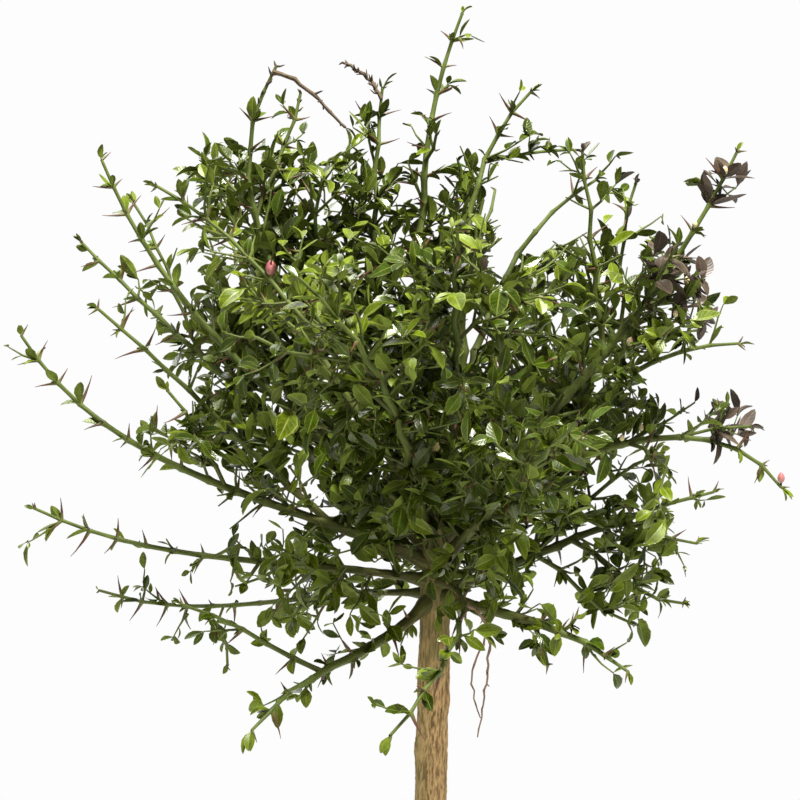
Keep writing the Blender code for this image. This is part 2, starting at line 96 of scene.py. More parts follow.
# Side shoots: the mass, the share of its path where the shoot leaves, and then as for a limb.
SIDE_SHOOTS = (
    ("left", 0.04, (-0.239, -0.090, 0.663), (192, 40), (186, 40)),
    ("left_drop", 0.40, (-0.176, -0.120, 0.453), (180, 22), (176, 14)),
    ("back_left", 0.42, (-0.180, 0.170, 0.700), (140, 40), (146, 36)),
    ("top_left", 0.62, (-0.097, 0.000, 0.828), (40, 70), (330, 78)),
    ("top_left", 0.985, (-0.063, -0.030, 0.799), (0, -12), (0, -44)),
    ("top_back", 0.97, (-0.067, 0.050, 0.857), (180, 66), (184, 20)),
    ("top_right", 0.74, (0.111, 0.050, 0.790), (20, 14), (8, 2)),
    ("front_left", 0.42, (-0.196, -0.100, 0.750), (196, 38), (176, 28)),
    ("right_upper", 0.38, (0.110, -0.062, 0.779), (200, 82), (190, 82)),
    ("right", 0.56, (0.156, 0.020, 0.761), (350, 80), (14, 66)),
    ("right_low_back", 0.30, (0.198, 0.080, 0.439), (350, -24), (12, 2)),
    ("front_drop", 0.06, (0.033, -0.090, 0.356), (350, -14), (200, -84)),
    ("back", 0.40, (-0.110, 0.220, 0.505), (140, 4), (130, 14)),
)

# Finer side shoots, as above, that fill the masses between their limbs.
FINER_SHOOTS = (
    ("top_left", 0.34, (-0.075, -0.020, 0.776), (50, 62), (30, 66)),
    ("top_left", 0.20, (-0.060, 0.030, 0.742), (60, 60), (70, 70)),
    ("back_left", 0.55, (-0.232, 0.100, 0.752), (150, 56), (172, 56)),
    ("back_left", 0.20, (-0.172, 0.070, 0.778), (150, 64), (172, 58)),
    ("back_left_low", 0.50, (-0.159, 0.110, 0.388), (200, -40), (190, -80)),
    ("left", 0.34, (-0.188, -0.100, 0.604), (190, 60), (170, 50)),
    ("left_low", 0.42, (-0.140, -0.060, 0.492), (190, -20), (196, -30)),
    ("right_low_back", 0.10, (0.178, 0.060, 0.556), (30, 34), (10, 18)),
    ("right_low_back", 0.12, (0.152, 0.040, 0.428), (0, -20), (0, -10)),
    ("right_low_back", 0.55, (0.212, 0.110, 0.484), (10, -10), (10, 0)),
    ("right_upper", 0.30, (0.178, -0.060, 0.655), (350, 20), (355, 20)),
    ("right_low", 0.15, (0.085, -0.060, 0.405), (340, -30), (350, -40)),
    ("right_mid", 0.60, (0.236, -0.030, 0.578), (350, 30), (355, 10)),
    ("right_mid", 0.42, (0.172, -0.060, 0.548), (330, -10), (340, -30)),
    ("right_low", 0.40, (0.104, -0.080, 0.440), (0, 10), (350, 14)),
    ("back_right_up", 0.40, (0.090, 0.080, 0.712), (0, 50), (350, 60)),
    ("right_upper", 0.50, (0.172, -0.080, 0.700), (310, 60), (330, 70)),
    ("top", 0.55, (0.004, -0.040, 0.792), (250, 60), (230, 66)),
    ("top_right", 0.35, (0.040, 0.000, 0.748), (330, 50), (340, 60)),
    ("front_left", 0.60, (-0.120, -0.190, 0.640), (200, 40), (190, 40)),
    ("front_up", 0.50, (0.058, -0.180, 0.680), (320, 50), (330, 54)),
)
FINER_SHARE = 0.62

# The crown as the front view shows it: places are (x, z) on the plane of the trunk, seen from the eye.
EYE = Vector((-0.0225, -2.0, 0.5975))
CROWN_CENTRE = Vector((-0.006, 0.000, 0.617))
CROWN_RADII = Vector((0.166, 0.205, 0.163))
CROWN_SQUARENESS = 3
CROWN_EDGE = 0.22
LOOSE_FROM = 0.700
LOOSE_RISE = 0.070
LOOSENESS = 0.18

# Leafy lobes outside the round crown, and gaps where the sky shows: the middle and the half sizes of each.
LOBES = (
    ((-0.092, 0.458), (0.046, 0.032)), ((-0.045, 0.438), (0.024, 0.024)), ((-0.142, 0.496), (0.014, 0.012)),
    ((-0.156, 0.408), (0.01, 0.012)), ((0.146, 0.496), (0.032, 0.044)), ((0.156, 0.446), (0.016, 0.014)),
    ((0.116, 0.459), (0.02, 0.013)), ((0.082, 0.424), (0.014, 0.009)), ((0.06, 0.452), (0.03, 0.02)),
    ((-0.124, 0.768), (0.026, 0.022)), ((-0.164, 0.739), (0.02, 0.036)), ((0.202, 0.583), (0.042, 0.015)),
    ((0.172, 0.542), (0.02, 0.012)), ((0.178, 0.67), (0.03, 0.044)), ((-0.048, 0.796), (0.014, 0.014)),
    ((0.03, 0.793), (0.01, 0.016)), ((-0.16, 0.774), (0.016, 0.008)), ((-0.082, 0.413), (0.02, 0.01)),
    ((-0.142, 0.462), (0.01, 0.01)), ((-0.185, 0.433), (0.016, 0.008)), ((0.135, 0.76), (0.017, 0.03)),
    ((0.214, 0.76), (0.015, 0.018)), ((-0.184, 0.622), (0.02, 0.014)), ((-0.19, 0.566), (0.026, 0.014)),
    ((-0.22, 0.668), (0.012, 0.022)), ((0.138, 0.444), (0.018, 0.01)), ((0.03, 0.415), (0.016, 0.012)),
    ((-0.033, 0.375), (0.016, 0.022)), ((-0.108, 0.37), (0.02, 0.008)), ((-0.124, 0.504), (0.016, 0.008)),
)
GAPS = (
    ((0.075, 0.748), (0.036, 0.028)), ((0.053, 0.701), (0.012, 0.011)), ((0.096, 0.725), (0.011, 0.009)),
    ((0.172, 0.752), (0.018, 0.018)), ((0.152, 0.699), (0.009, 0.009)), ((0.029, 0.646), (0.011, 0.02)),
    ((0.174, 0.617), (0.016, 0.007)), ((0.215, 0.617), (0.03, 0.01)), ((-0.076, 0.801), (0.018, 0.013)),
    ((0.018, 0.795), (0.014, 0.01)), ((-0.188, 0.518), (0.034, 0.028)), ((-0.16, 0.496), (0.01, 0.022)),
    ((-0.186, 0.718), (0.009, 0.009)), ((0.158, 0.551), (0.008, 0.007)), ((0.143, 0.53), (0.009, 0.008)),
    ((0.198, 0.556), (0.02, 0.01)), ((0.101, 0.486), (0.015, 0.009)), ((-0.082, 0.51), (0.02, 0.006)),
    ((-0.048, 0.473), (0.02, 0.008)), ((-0.161, 0.452), (0.013, 0.013)), ((0.083, 0.45), (0.008, 0.008)),
    ((-0.076, 0.794), (0.012, 0.012)), ((0.07, 0.716), (0.024, 0.01)), ((0.118, 0.728), (0.01, 0.016)),
    ((0.12, 0.5), (0.008, 0.008)), ((0.147, 0.556), (0.008, 0.008)), ((-0.184, 0.5975), (0.012, 0.009)),
    ((-0.16, 0.542), (0.012, 0.007)), ((-0.126, 0.448), (0.012, 0.009)), ((-0.026, 0.78), (0.009, 0.01)),
    ((0.006, 0.782), (0.01, 0.012)),
)

# Small holes, where a noise passes a level: more of them below a height, and none round the trunk's head.
HOLE_SCALE = 88
HOLE_SLICE = 2.0
HOLES_LOW = 0.36
HOLES_HIGH = 0.49
HOLES_BELOW = 0.555
HEAD = ((0.005, 0.495), (0.080, 0.060))

# Shoots that show in front of the leaves, and the share of each from where it does.
SHOWN = {
    ("front_left", 1): 0.0, ("front_left", 0): 0.25, ("left_high", 0): 0.25, ("left", 1): 0.15,
    ("left", 0): 0.15, ("left_low", 0): 0.3, ("left_drop", 0): 0.1, ("back_left", 0): 0.45,
    ("top_left", 0): 0.35, ("top_left", 1): 0.3, ("top_back", 0): 0.5, ("top", 0): 0.4,
    ("top_right", 0): 0.45, ("front_up", 0): 0.5, ("right_upper", 0): 0.3, ("right_upper", 1): 0.2,
    ("back_right_up", 0): 0.5, ("right", 0): 0.5, ("right", 1): 0.2, ("right_mid", 0): 0.3,
    ("right_low", 0): 0.2, ("front_drop", 0): 0.0,
}
SHOWN_WIDTH = 0.0042
SHOWN_STRICT = 0.75

# Shoots that end in large leaves, and the size of those leaves.
LARGE_TIPS = {("front_drop", 0): 1.15, ("left_drop", 0): 1.25, ("top_back", 0): 0.9}
TIP_SIZE = 0.66

# Patches of young leaves and of painted backlit leaves: the middle and half sizes of each, its tone, and the
# share of sprays that take it.
PATCHES = (
    ((0.2150, 0.7640), (0.024, 0.028), "purple", 0.95),
    ((0.1960, 0.6820), (0.030, 0.036), "purple", 0.62),
    ((0.2140, 0.5860), (0.034, 0.020), "purple", 0.75),
    ((0.1070, 0.7860), (0.012, 0.020), "purple", 0.80),
    ((0.0430, 0.6970), (0.014, 0.014), "purple", 0.50),
    ((0.1500, 0.7480), (0.022, 0.022), "purple", 0.35),
    # Lime patches: fresh leaves, and the painted glow of leaves lit from behind.
    ((-0.0600, 0.6400), (0.036, 0.060), "fresh", 0.12),
    ((0.0410, 0.6750), (0.012, 0.012), "fresh", 0.80),
    ((0.1150, 0.7850), (0.006, 0.010), "fresh", 0.90),
    ((-0.0490, 0.5450), (0.010, 0.012), "fresh", 0.80),
    ((-0.2140, 0.6570), (0.014, 0.014), "fresh", 0.70),
    ((0.0750, 0.8260), (0.016, 0.014), "fresh", 0.60),
)

# ---------------------------------------------------------------- sizes of the finer growth

NODE_STEP = 0.0215
# The girth along the stretch from a node to the next.
NODE_SWELLS = ((0.0, 1.26), (0.12, 1.08), (0.3, 1.0), (0.55, 0.98), (0.85, 1.04))
KINK = 0.0017
TWIG_LENGTH = 0.062
TWIG_SHORT = 0.014
TWIG_RADIUS = 0.0012
TWIG_TIP_RADIUS = 0.0005
TWIG_NODE_STEP = 0.0098
TWIG_ROOM = 0.026
TWIGS_MOST = 3
TWIG_SPLIT = 58
TWIG_RISE = 0.34
SPRIG_LENGTH = (0.060, 0.125)
SPRIG_SHARE = 0.52
SPRIG_TIP_RADIUS = 0.0007
SPRIG_SPLIT = (20, 42)
SPRIG_STEP = 0.0045
SPRIG_NODE_STEP = 0.0165
TWIGLET_LENGTH = 0.028
TWIGLET_SHARE = 0.34
THORN_LENGTH = (0.015, 0.025)
THORN_RADIUS = 0.0016
THORN_SPLIT = 68
LEAF_LENGTH = (0.0100, 0.0208)
LEAF_WIDTH = (0.37, 0.56)
LEAF_SPLIT = 50
GOLDEN_TURN = math.radians(137.5)
UP = Vector((0, 0, 1))
NEARLY_ALONG = 0.05


def blend(low, high, share):
    return low + (high - low) * share


def heading(pair):
    """The direction of a turn from +X and a pitch from level."""
    turn, pitch = (math.radians(angle) for angle in pair)
    return Vector((math.cos(turn) * math.cos(pitch), math.sin(turn) * math.cos(pitch), math.sin(pitch)))


def trunk_centre(height):
    share = height / TRUNK_RADII[-1][0]
    sway = TRUNK_SWAY * math.sin(math.tau * TRUNK_SWAYS * share)
    return Vector((TRUNK_LEAN * share**2 + sway, sway * TRUNK_SWAY_DEPTH, height))


def trunk_radius(height):
    for (low, wide), (high, narrow) in zip(TRUNK_RADII, TRUNK_RADII[1:]):
        if height <= high:
            return blend(wide, narrow, (height - low) / (high - low))
    return TRUNK_RADII[-1][1]


class Path:
    """A cubic curve from one point to another, read by its length."""

    STEPS = 96

    def __init__(self, base, tip, start, end):
        reach = (tip - base).length * HANDLE
        near = base + heading(start) * reach
        far = tip - heading(end) * reach
        self.points = []
        for i in range(self.STEPS + 1):
            t = i / self.STEPS
            s = 1 - t
            self.points.append(base * s**3 + near * 3 * s * s * t + far * 3 * s * t * t + tip * t**3)
        self.marks = [0.0]
        for before, after in zip(self.points, self.points[1:]):
            self.marks.append(self.marks[-1] + (after - before).length)
        self.length = self.marks[-1]

    def at(self, distance):
        """The point at a distance along the path, and the path's direction there."""
        distance = min(max(distance, 0.0), self.length)
        i = 0
        while i < self.STEPS - 1 and self.marks[i + 1] < distance:
            i += 1
        along = self.points[i + 1] - self.points[i]
        share = (distance - self.marks[i]) / (self.marks[i + 1] - self.marks[i])
        return self.points[i] + along * share, along.normalized()

    def samples(self, start, end, step):
        count = max(2, math.ceil((end - start) / step) + 1)
        return [self.at(blend(start, end, i / (count - 1)))[0] for i in range(count)]


def across(direction, roll):
    """A direction square to another, turned round it by roll."""
    side = direction.cross(UP)
    if side.length < NEARLY_ALONG:
        side = direction.cross(Vector((0, 1, 0)))
    return Quaternion(direction, roll) @ side.normalized()


def leaning(tangent, roll, split):
    """The direction that leaves a stem at an angle, on one of its sides."""
    return tangent * math.cos(split) + across(tangent, roll) * math.sin(split)


def seat_distance(height, start):
    """How far along its heading a limb comes out of the trunk's surface."""
    return trunk_radius(height) / math.cos(math.radians(start[1]))


def seat_heights():
    """The height of each limb's base: the lowest that keeps it clear of those seated before it."""
    seated, heights = [], {}
    for name, (_, start, _) in sorted(LIMBS.items(), key=lambda item: item[1][1][1]):
        if name == TOP_LIMB:
            heights[name] = TRUNK_RADII[-1][0] - BOUGH_RADIUS
            continue
        height = HEAD_LOW
        while True:
            spot = trunk_centre(height) + heading(start) * seat_distance(height, start)
            if all((spot - other).length >= SEAT_SPACING for other in seated):
                break
            height += HEAD_STEP
        seated.append(spot)
        heights[name] = height
    return heights


class Shoot:
    """A tapering stem along a path, with nodes where it kinks a little to one side and the other."""

    def __init__(self, path, begin, radius):
        self.path = path
        self.begin = begin
        self.radius = radius
        self.span = path.length - begin

    def share(self, distance):
        return (distance - self.begin) / self.span

    def thickness(self, distance):
        return blend(self.radius, SHOOT_TIP_RADIUS, self.share(distance) ** SHOOT_TAPER)

    def nodes(self, step):
        """The distances of the nodes, about a step apart."""
        count = max(2, round(self.span / step))
        return [self.begin + self.span * i / count for i in range(count + 1)]

    def kinked(self, distances):
        points = []
        for i, distance in enumerate(distances):
            point, tangent = self.path.at(distance)
            inner = 0 < i < len(distances) - 1
            points.append(point + across(tangent, i * math.pi) * (KINK if inner else 0))
        return points


def plan_shoots():
    """The path and seat of each limb, and the shoots of each mass: the limb's own and its side shoots."""
    heights = seat_heights()
    limbs, masses = {}, {}
    for name, (tip, start, end) in LIMBS.items():
        path = Path(trunk_centre(heights[name]), Vector(tip), start, end)
        seat = BOUGH_RADIUS if name == TOP_LIMB else seat_distance(heights[name], start)
        limbs[name] = (path, seat)
        masses[name] = [Shoot(path, seat + BOUGH_LENGTH, SHOOT_RADIUS * SLIM.get(name, 1))]
    for shoots, girth in ((SIDE_SHOOTS, SIDE_SHOOT_SHARE), (FINER_SHOOTS, FINER_SHARE)):
        for name, share, tip, start, end in shoots:
            stem = masses[name][0]
            fork = stem.begin + stem.span * share
            path = Path(stem.path.at(fork)[0], Vector(tip), start, end)
            masses[name].append(Shoot(path, 0.0, stem.thickness(fork) * girth))
    return limbs, masses


def seen(point):
    """Where the eye sees a point, as (x, z) on the plane of the trunk."""
    scale = EYE.y / (EYE.y - point.y)
    return EYE.x + (point.x - EYE.x) * scale, EYE.z + (point.z - EYE.z) * scale


def inside(spot, middle, radii):
    """Below 1 inside an ellipse, and above 1 outside it."""
    return math.hypot((spot[0] - middle[0]) / radii[0], (spot[1] - middle[1]) / radii[1])


def density(point):
    """1 inside the dense crown, 0 well outside it."""
    x, z = seen(point)
    offset = Vector((x, point.y, z)) - CROWN_CENTRE
    parts = [abs(offset[i] / CROWN_RADII[i]) ** CROWN_SQUARENESS for i in range(3)]
    depths = [sum(parts) ** (1 / CROWN_SQUARENESS)] + [inside((x, z), *lobe) for lobe in LOBES]
    loose = min(1.0, max(0.0, (z - LOOSE_FROM) / LOOSE_RISE)) * LOOSENESS
    return min(1.0, max(0.0, (1 + CROWN_EDGE / 2 - min(depths)) / CROWN_EDGE)) * (1 - loose)


def open_sky(point):
    """True in one of the gaps, or in one of the small holes scattered through the crown."""
    spot = seen(point)
    hole = noise.noise(Vector((spot[0] * HOLE_SCALE, spot[1] * HOLE_SCALE, HOLE_SLICE)))
    if hole > (HOLES_LOW if spot[1] < HOLES_BELOW else HOLES_HIGH) and inside(spot, *HEAD) > 1:
        return True
    return any(inside(spot, *gap) < 1 for gap in GAPS)


# ---------------------------------------------------------------- meshes

TIP_DOME = 0.6

# Edges sharper than these angles stay sharp.
BARK_ANGLE = 60
STEM_ANGLE = 50
LEAF_ANGLE = 24


class Pile:
    """Gathers the rings of many small shapes, then makes one object of them."""

    def __init__(self):
        self.points, self.faces, self.uvs, self.slots, self.ages = [], [], [], [], []
        self.count = 0

    def add(self, points, faces, uvs, slots, age=0.0):
        """points (n, 3), faces (m, 4) of indices, where -1 ends a triangle, and a uv for each point."""
        self.points.append(points)
        self.faces.append(np.where(faces < 0, -1, faces + self.count))
        self.uvs.append(uvs)
        self.slots.append(slots)
        self.ages.append(np.broadcast_to(age, len(points)))
        self.count += len(points)

    def make(self, name, materials, smooth_angle):
        """The object, with the uv map "Growth" and the age of each point for its material."""
        points = np.concatenate(self.points)
        faces = np.concatenate(self.faces)
        uvs = np.concatenate(self.uvs)
        corners = faces.ravel()
        keep = corners >= 0
        corners = corners[keep]
        sizes = (faces >= 0).sum(1)
        mesh = bpy.data.meshes.new(name)
        mesh.vertices.add(len(points))
        mesh.vertices.foreach_set("co", points.astype(np.float32).ravel())
        mesh.loops.add(len(corners))
        mesh.loops.foreach_set("vertex_index", corners.astype(np.int32))
        mesh.polygons.add(len(faces))
        mesh.polygons.foreach_set("loop_start", (np.cumsum(sizes) - sizes).astype(np.int32))
        mesh.polygons.foreach_set("material_index", np.concatenate(self.slots).astype(np.int32))
        mesh.update(calc_edges=True)
        layer = mesh.uv_layers.new(name="Growth")
        layer.uv.foreach_set("vector", uvs[corners].astype(np.float32).ravel())
        age = mesh.attributes.new("age", "FLOAT", "POINT")
        age.data.foreach_set("value", np.concatenate(self.ages).astype(np.float32))
        for made in materials:
            mesh.materials.append(made)
        mesh.shade_smooth()
        mesh.set_sharp_from_angle(angle=math.radians(smooth_angle))
        obj = bpy.data.objects.new(name, mesh)
        bpy.context.scene.collection.objects.link(obj)
        return obj


def ring_faces(sides, rows):
    """Indices round a ring, those of their neighbours, and the quads that join the rings of a stem."""
    i = np.arange(sides)
    j = (i + 1) % sides
    quads = []
    for low in np.arange(rows) * sides:
        quads.append(np.stack([low + i, low + j, low + sides + j, low + sides + i], 1))
    return i, j, quads


def fan(first, second, hub):
    """Triangles from the edges of a ring to a hub."""
    return np.stack([first, second, np.full(len(first), hub), np.full(len(first), -1)], 1)


def tube(pile, points, radii, sides, ages, ends=(True, True)):
    """A round stem along points. u runs round it and v along it, in metres."""
    points = np.array([tuple(p) for p in points])
    tangents = np.gradient(points, axis=0)
    tangents /= np.linalg.norm(tangents, axis=1)[:, None]
    side = np.array(tuple(across(Vector(tangents[0]), 0.0)))
    turns = np.linspace(0, math.tau, sides + 1)
    marks = np.concatenate([[0], np.cumsum(np.linalg.norm(np.diff(points, axis=0), axis=1))])
    rings, uvs = [], []
    for point, tangent, radius, mark in zip(points, tangents, radii, marks):
        side = side - tangent * side.dot(tangent)
        side /= np.linalg.norm(side)
        other = np.cross(tangent, side)
        ring = point + radius * (np.cos(turns)[:, None] * side + np.sin(turns)[:, None] * other)
        rings.append(ring[:-1])
        uvs.append(np.stack([turns[:-1] / math.tau, np.full(sides, mark)], 1))
    last = len(points) - 1
    i, j, faces = ring_faces(sides, last)
    all_points, all_uvs, all_ages = np.concatenate(rings), np.concatenate(uvs), np.repeat(ages, sides)
    caps = []
    if ends[0]:
        caps.append((0, points[0], j, i))
    if ends[1]:
        dome = points[-1] + tangents[-1] * radii[-1] * TIP_DOME
        caps.append((last, dome, last * sides + i, last * sides + j))
    for at, centre, first, second in caps:
        faces.append(fan(first, second, len(all_points)))
        all_points = np.vstack([all_points, centre])
        all_uvs = np.vstack([all_uvs, [0.5, marks[at]]])
        all_ages = np.append(all_ages, ages[at])
    faces = np.concatenate(faces)
    pile.add(all_points, faces, all_uvs, np.zeros(len(faces)), all_ages)


# ---------------------------------------------------------------- materials


class Paint:
    """A procedural material, built node by node on a Principled shader."""

    def __init__(self, name, colour, roughness, tint=(1.0, 1.0, 1.0), **values):
        self.made = bpy.data.materials.new(name)
        self.made.use_nodes = True
        self.tree = self.made.node_tree
        self.shader = self.tree.nodes["Principled BSDF"]
        self.shader.inputs["Base Color"].default_value = (*colour, 1)
        self.shader.inputs["Roughness"].default_value = roughness
        self.shader.inputs["Specular Tint"].default_value = (*tint, 1)
        for key, value in values.items():
            self.shader.inputs[key.replace("_", " ")].default_value = value

    def node(self, kind, inputs=None, **settings):
        made = self.tree.nodes.new("ShaderNode" + kind)
        for key, value in settings.items():
            setattr(made, key, value)
        for key, value in (inputs or {}).items():
            if isinstance(value, bpy.types.NodeSocket):
                self.tree.links.new(value, made.inputs[key])
            else:
                made.inputs[key].default_value = value
        return made

    def place(self, kind, scale):
        source = self.node("TexCoord").outputs[kind]
        return self.node("Mapping", {"Vector": source, "Scale": scale}).outputs["Vector"]

    def axes(self, kind):
        return self.node("SeparateXYZ", {"Vector": self.node("TexCoord").outputs[kind]}).outputs

    def age(self):
        return self.node("Attribute", attribute_name="age").outputs["Fac"]

    def noise(self, vector, scale, detail=3.0, roughness=0.6):
        inputs = {"Vector": vector, "Scale": scale, "Detail": detail, "Roughness": roughness}
        return self.node("TexNoise", inputs).outputs["Fac"]

    def cloud(self, scale, detail=3.0, roughness=0.6, stretch=(1, 1, 1)):
        return self.noise(self.place("Object", stretch), scale, detail, roughness)

    def ramp(self, value, low, high, low_to=0.0, high_to=1.0):
        inputs = {"Value": value, "From Min": low, "From Max": high, "To Min": low_to, "To Max": high_to}
        return self.node("MapRange", inputs).outputs["Result"]

    def stray(self, cloud, low_to, high_to):
        """A cloud brought to a range of values."""
        return self.ramp(cloud, 0.3, 0.7, low_to, high_to)

    def mix(self, share, first, second):
        made = self.node("Mix", data_type="RGBA")
        for socket, value in ((made.inputs[0], share), (made.inputs[6], first), (made.inputs[7], second)):
            if isinstance(value, bpy.types.NodeSocket):
                self.tree.links.new(value, socket)
            else:
                socket.default_value = (*value, 1) if isinstance(value, tuple) else value
        return made.outputs[2]

    def math(self, operation, first, second=0.0):
        return self.node("Math", {0: first, 1: second}, operation=operation).outputs[0]

    def set(self, name, socket):
        self.tree.links.new(socket, self.shader.inputs[name])

    def bump(self, height, strength, distance):
        made = self.node("Bump", {"Height": height, "Strength": strength, "Distance": distance})
        self.tree.links.new(made.outputs["Normal"], self.shader.inputs["Normal"])


GREEN_GLOSS = (1.0, 1.0, 0.85)
PURPLE_GLOSS = (1.0, 0.96, 0.94)
WOOD_GLOSS = 0.12
WOOD_ROUGHNESS = 0.55
SIDE_VEINS = 7
# The tinge of a leaf's pale margin, which is partly a painted glint.
MARGIN_AND_GLINT = (0.050, 0.035, 0.012)
BUD_PETALS = 5


def scaled(colour, share):
    return tuple(min(1.0, c * share) for c in colour)


def leaf_paint(name, colour, rib, roughness, gloss, sheen=GREEN_GLOSS):
    """A leaf's face: its own green, clouded, with a pale midrib and side veins, a pale margin that is partly
    a painted glint, and a soft relief.
    """
    paint = Paint(name, colour, roughness, sheen, Specular_IOR_Level=gloss)
    uv = paint.axes("UV")
    offset = paint.math("ABSOLUTE", paint.math("SUBTRACT", uv["X"], 0.5))
    midrib = paint.ramp(offset, 0.0, 0.06, 1.0, 0.0)
    slant = paint.math("SUBTRACT", uv["Y"], paint.math("MULTIPLY", offset, 0.5))
    veins = paint.math("SINE", paint.math("MULTIPLY", slant, math.tau * SIDE_VEINS))
    vein = paint.ramp(veins, 0.72, 1.0, 0.0, 0.2)
    cloud = paint.cloud(75.0)
    face = paint.mix(paint.ramp(cloud, 0.34, 0.66), scaled(colour, 0.62), scaled(colour, 1.5))
    face = paint.mix(paint.math("MAXIMUM", midrib, vein), face, rib)
    # The pale margin: partly the leaf's own pale edge and partly a painted glint along it.
    margin = tuple(c * 1.5 + extra for c, extra in zip(rib, MARGIN_AND_GLINT))
    face = paint.mix(paint.ramp(offset, 0.43, 0.50, 0.0, 0.45), face, margin)
    paint.set("Base Color", face)
    paint.set("Roughness", paint.stray(cloud, roughness - 0.07, roughness + 0.10))
    paint.bump(paint.math("ADD", paint.math("MULTIPLY", veins, -0.3), midrib), 0.35, 0.0002)
    return paint.made


def stem_paint(name, young, old, streak):
    """Green wood: brown where it is old, finely ridged along its length, with a few pale pores."""
    paint = Paint(name, young, WOOD_ROUGHNESS, GREEN_GLOSS, Specular_IOR_Level=WOOD_GLOSS)
    age = paint.age()
    streaks = paint.noise(paint.place("UV", (16, 70, 1)), 1.0, 4.0)
    cloud = paint.cloud(90.0)
    fine = paint.cloud(700.0, 2.0)
    worn = paint.math("ADD", age, paint.stray(cloud, -0.2, 0.2))
    wood = paint.mix(paint.ramp(worn, 0.2, 0.9), young, old)
    wood = paint.mix(paint.ramp(streaks, 0.45, 0.70, 0.0, 0.7), wood, streak)
    wood = paint.mix(paint.ramp(cloud, 0.3, 0.6, 0.6, 0.0), wood, scaled(young, 0.5))
    wood = paint.mix(paint.ramp(fine, 0.68, 0.74, 0.0, 0.6), wood, scaled(streak, 1.9))
    paint.set("Base Color", wood)
    paint.set("Roughness", paint.stray(cloud, WOOD_ROUGHNESS - 0.1, WOOD_ROUGHNESS + 0.12))
    paint.bump(streaks, 0.6, 0.0005)
    return paint.made


def bark_paint(name, ridge, groove, bloom_and_shade):
    """Bark: pale ridges and dark fissures from the relief, a green bloom in patches, and painted shade on its
    left side and at its head.
    """
    paint = Paint(name, ridge, 0.86, Specular_IOR_Level=0.2)
    relief = paint.age()
    place = paint.axes("Object")
    fine = paint.cloud(900.0, 4.0, 0.65, (1, 1, 0.25))
    broad = paint.cloud(60.0, stretch=(1, 1, 0.5))
    height = paint.math("ADD", relief, paint.stray(fine, -0.30, 0.30))
    wood = paint.mix(paint.ramp(height, 0.10, 0.70), groove, ridge)
    wood = paint.mix(paint.ramp(broad, 0.50, 0.72, 0.0, 0.6), wood, bloom_and_shade)
    wood = paint.mix(paint.ramp(broad, 0.25, 0.48, 0.45, 0.0), wood, scaled(ridge, 1.25))
    # Painted shade: the left side of the trunk is made darker and greener.
    shade = paint.math("ADD", place["X"], paint.stray(broad, -0.004, 0.004))
    wood = paint.mix(paint.ramp(shade, -0.012, 0.003, 0.55, 0.0), wood, scaled(bloom_and_shade, 0.8))
    # Painted shadow of the crown: the trunk is made darker and greener towards its head.
    head = paint.math("ADD", place["Z"], paint.stray(broad, -0.02, 0.02))
    wood = paint.mix(paint.ramp(head, 0.392, 0.440, 0.0, 0.85), wood, scaled(bloom_and_shade, 0.60))
    paint.set("Base Color", wood)
    paint.set("Roughness", paint.stray(fine, 0.78, 0.95))
    paint.bump(fine, 0.5, 0.0005)
    return paint.made


def thorn_paint(name, base, tip):
    """A thorn: green at its base and brown at its tip, with an uneven edge between."""
    paint = Paint(name, base, 0.5, GREEN_GLOSS, Specular_IOR_Level=WOOD_GLOSS)
    along = paint.ramp(paint.axes("UV")["Y"], 0.001, 0.0075)
    edge = paint.math("ADD", along, paint.stray(paint.cloud(300.0), -0.2, 0.2))
    paint.set("Base Color", paint.mix(paint.ramp(edge, 0.1, 0.9), base, tip))
    return paint.made


def bud_paint(name, base, tip):
    """A closed flower bud: petal edges run up it, and its colour deepens towards the tip in blotches."""
    paint = Paint(name, base, 0.5, Subsurface_Weight=0.1, Subsurface_Scale=0.002)
    uv = paint.axes("UV")
    along = paint.ramp(uv["Y"], 0.001, 0.008)
    cloud = paint.noise(paint.place("UV", (7, 120, 1)), 1.0)
    edge = paint.math("ADD", along, paint.stray(cloud, -0.35, 0.35))
    paint.set("Base Color", paint.mix(paint.ramp(edge, 0.0, 1.0), base, tip))
    petal = paint.math("SINE", paint.math("MULTIPLY", uv["X"], math.tau * BUD_PETALS))
    paint.bump(paint.math("ADD", paint.math("MULTIPLY", petal, 0.5), cloud), 0.5, 0.0004)
    return paint.made


def dry_paint(name, base, pale):
    """Dead wood: grey-brown, streaked pale along its length, and rough."""
    paint = Paint(name, base, 0.8, Specular_IOR_Level=0.2)
    streaks = paint.noise(paint.place("UV", (6, 90, 1)), 1.0, 4.0)
    cloud = paint.cloud(160.0)
    wood = paint.mix(paint.ramp(streaks, 0.4, 0.7), base, pale)
    aged = paint.math("MULTIPLY", paint.age(), paint.ramp(cloud, 0.35, 0.65))
    wood = paint.mix(aged, wood, scaled(base, 0.55))
    paint.set("Base Color", wood)
    paint.set("Roughness", paint.stray(cloud, 0.7, 0.92))
    paint.bump(streaks, 0.6, 0.0004)
    return paint.made


# ---------------------------------------------------------------- growth

# Growth keeps clear of the limbs, and mostly keeps from before the shoots that show.
WOOD_STEP = 0.004
WOOD_REACH = 0.02
WOOD_ROOM = 0.001
SHOWN_STEP = 0.003
SHOWN_BEHIND = 0.002
SHOWN_FILL = 0.4

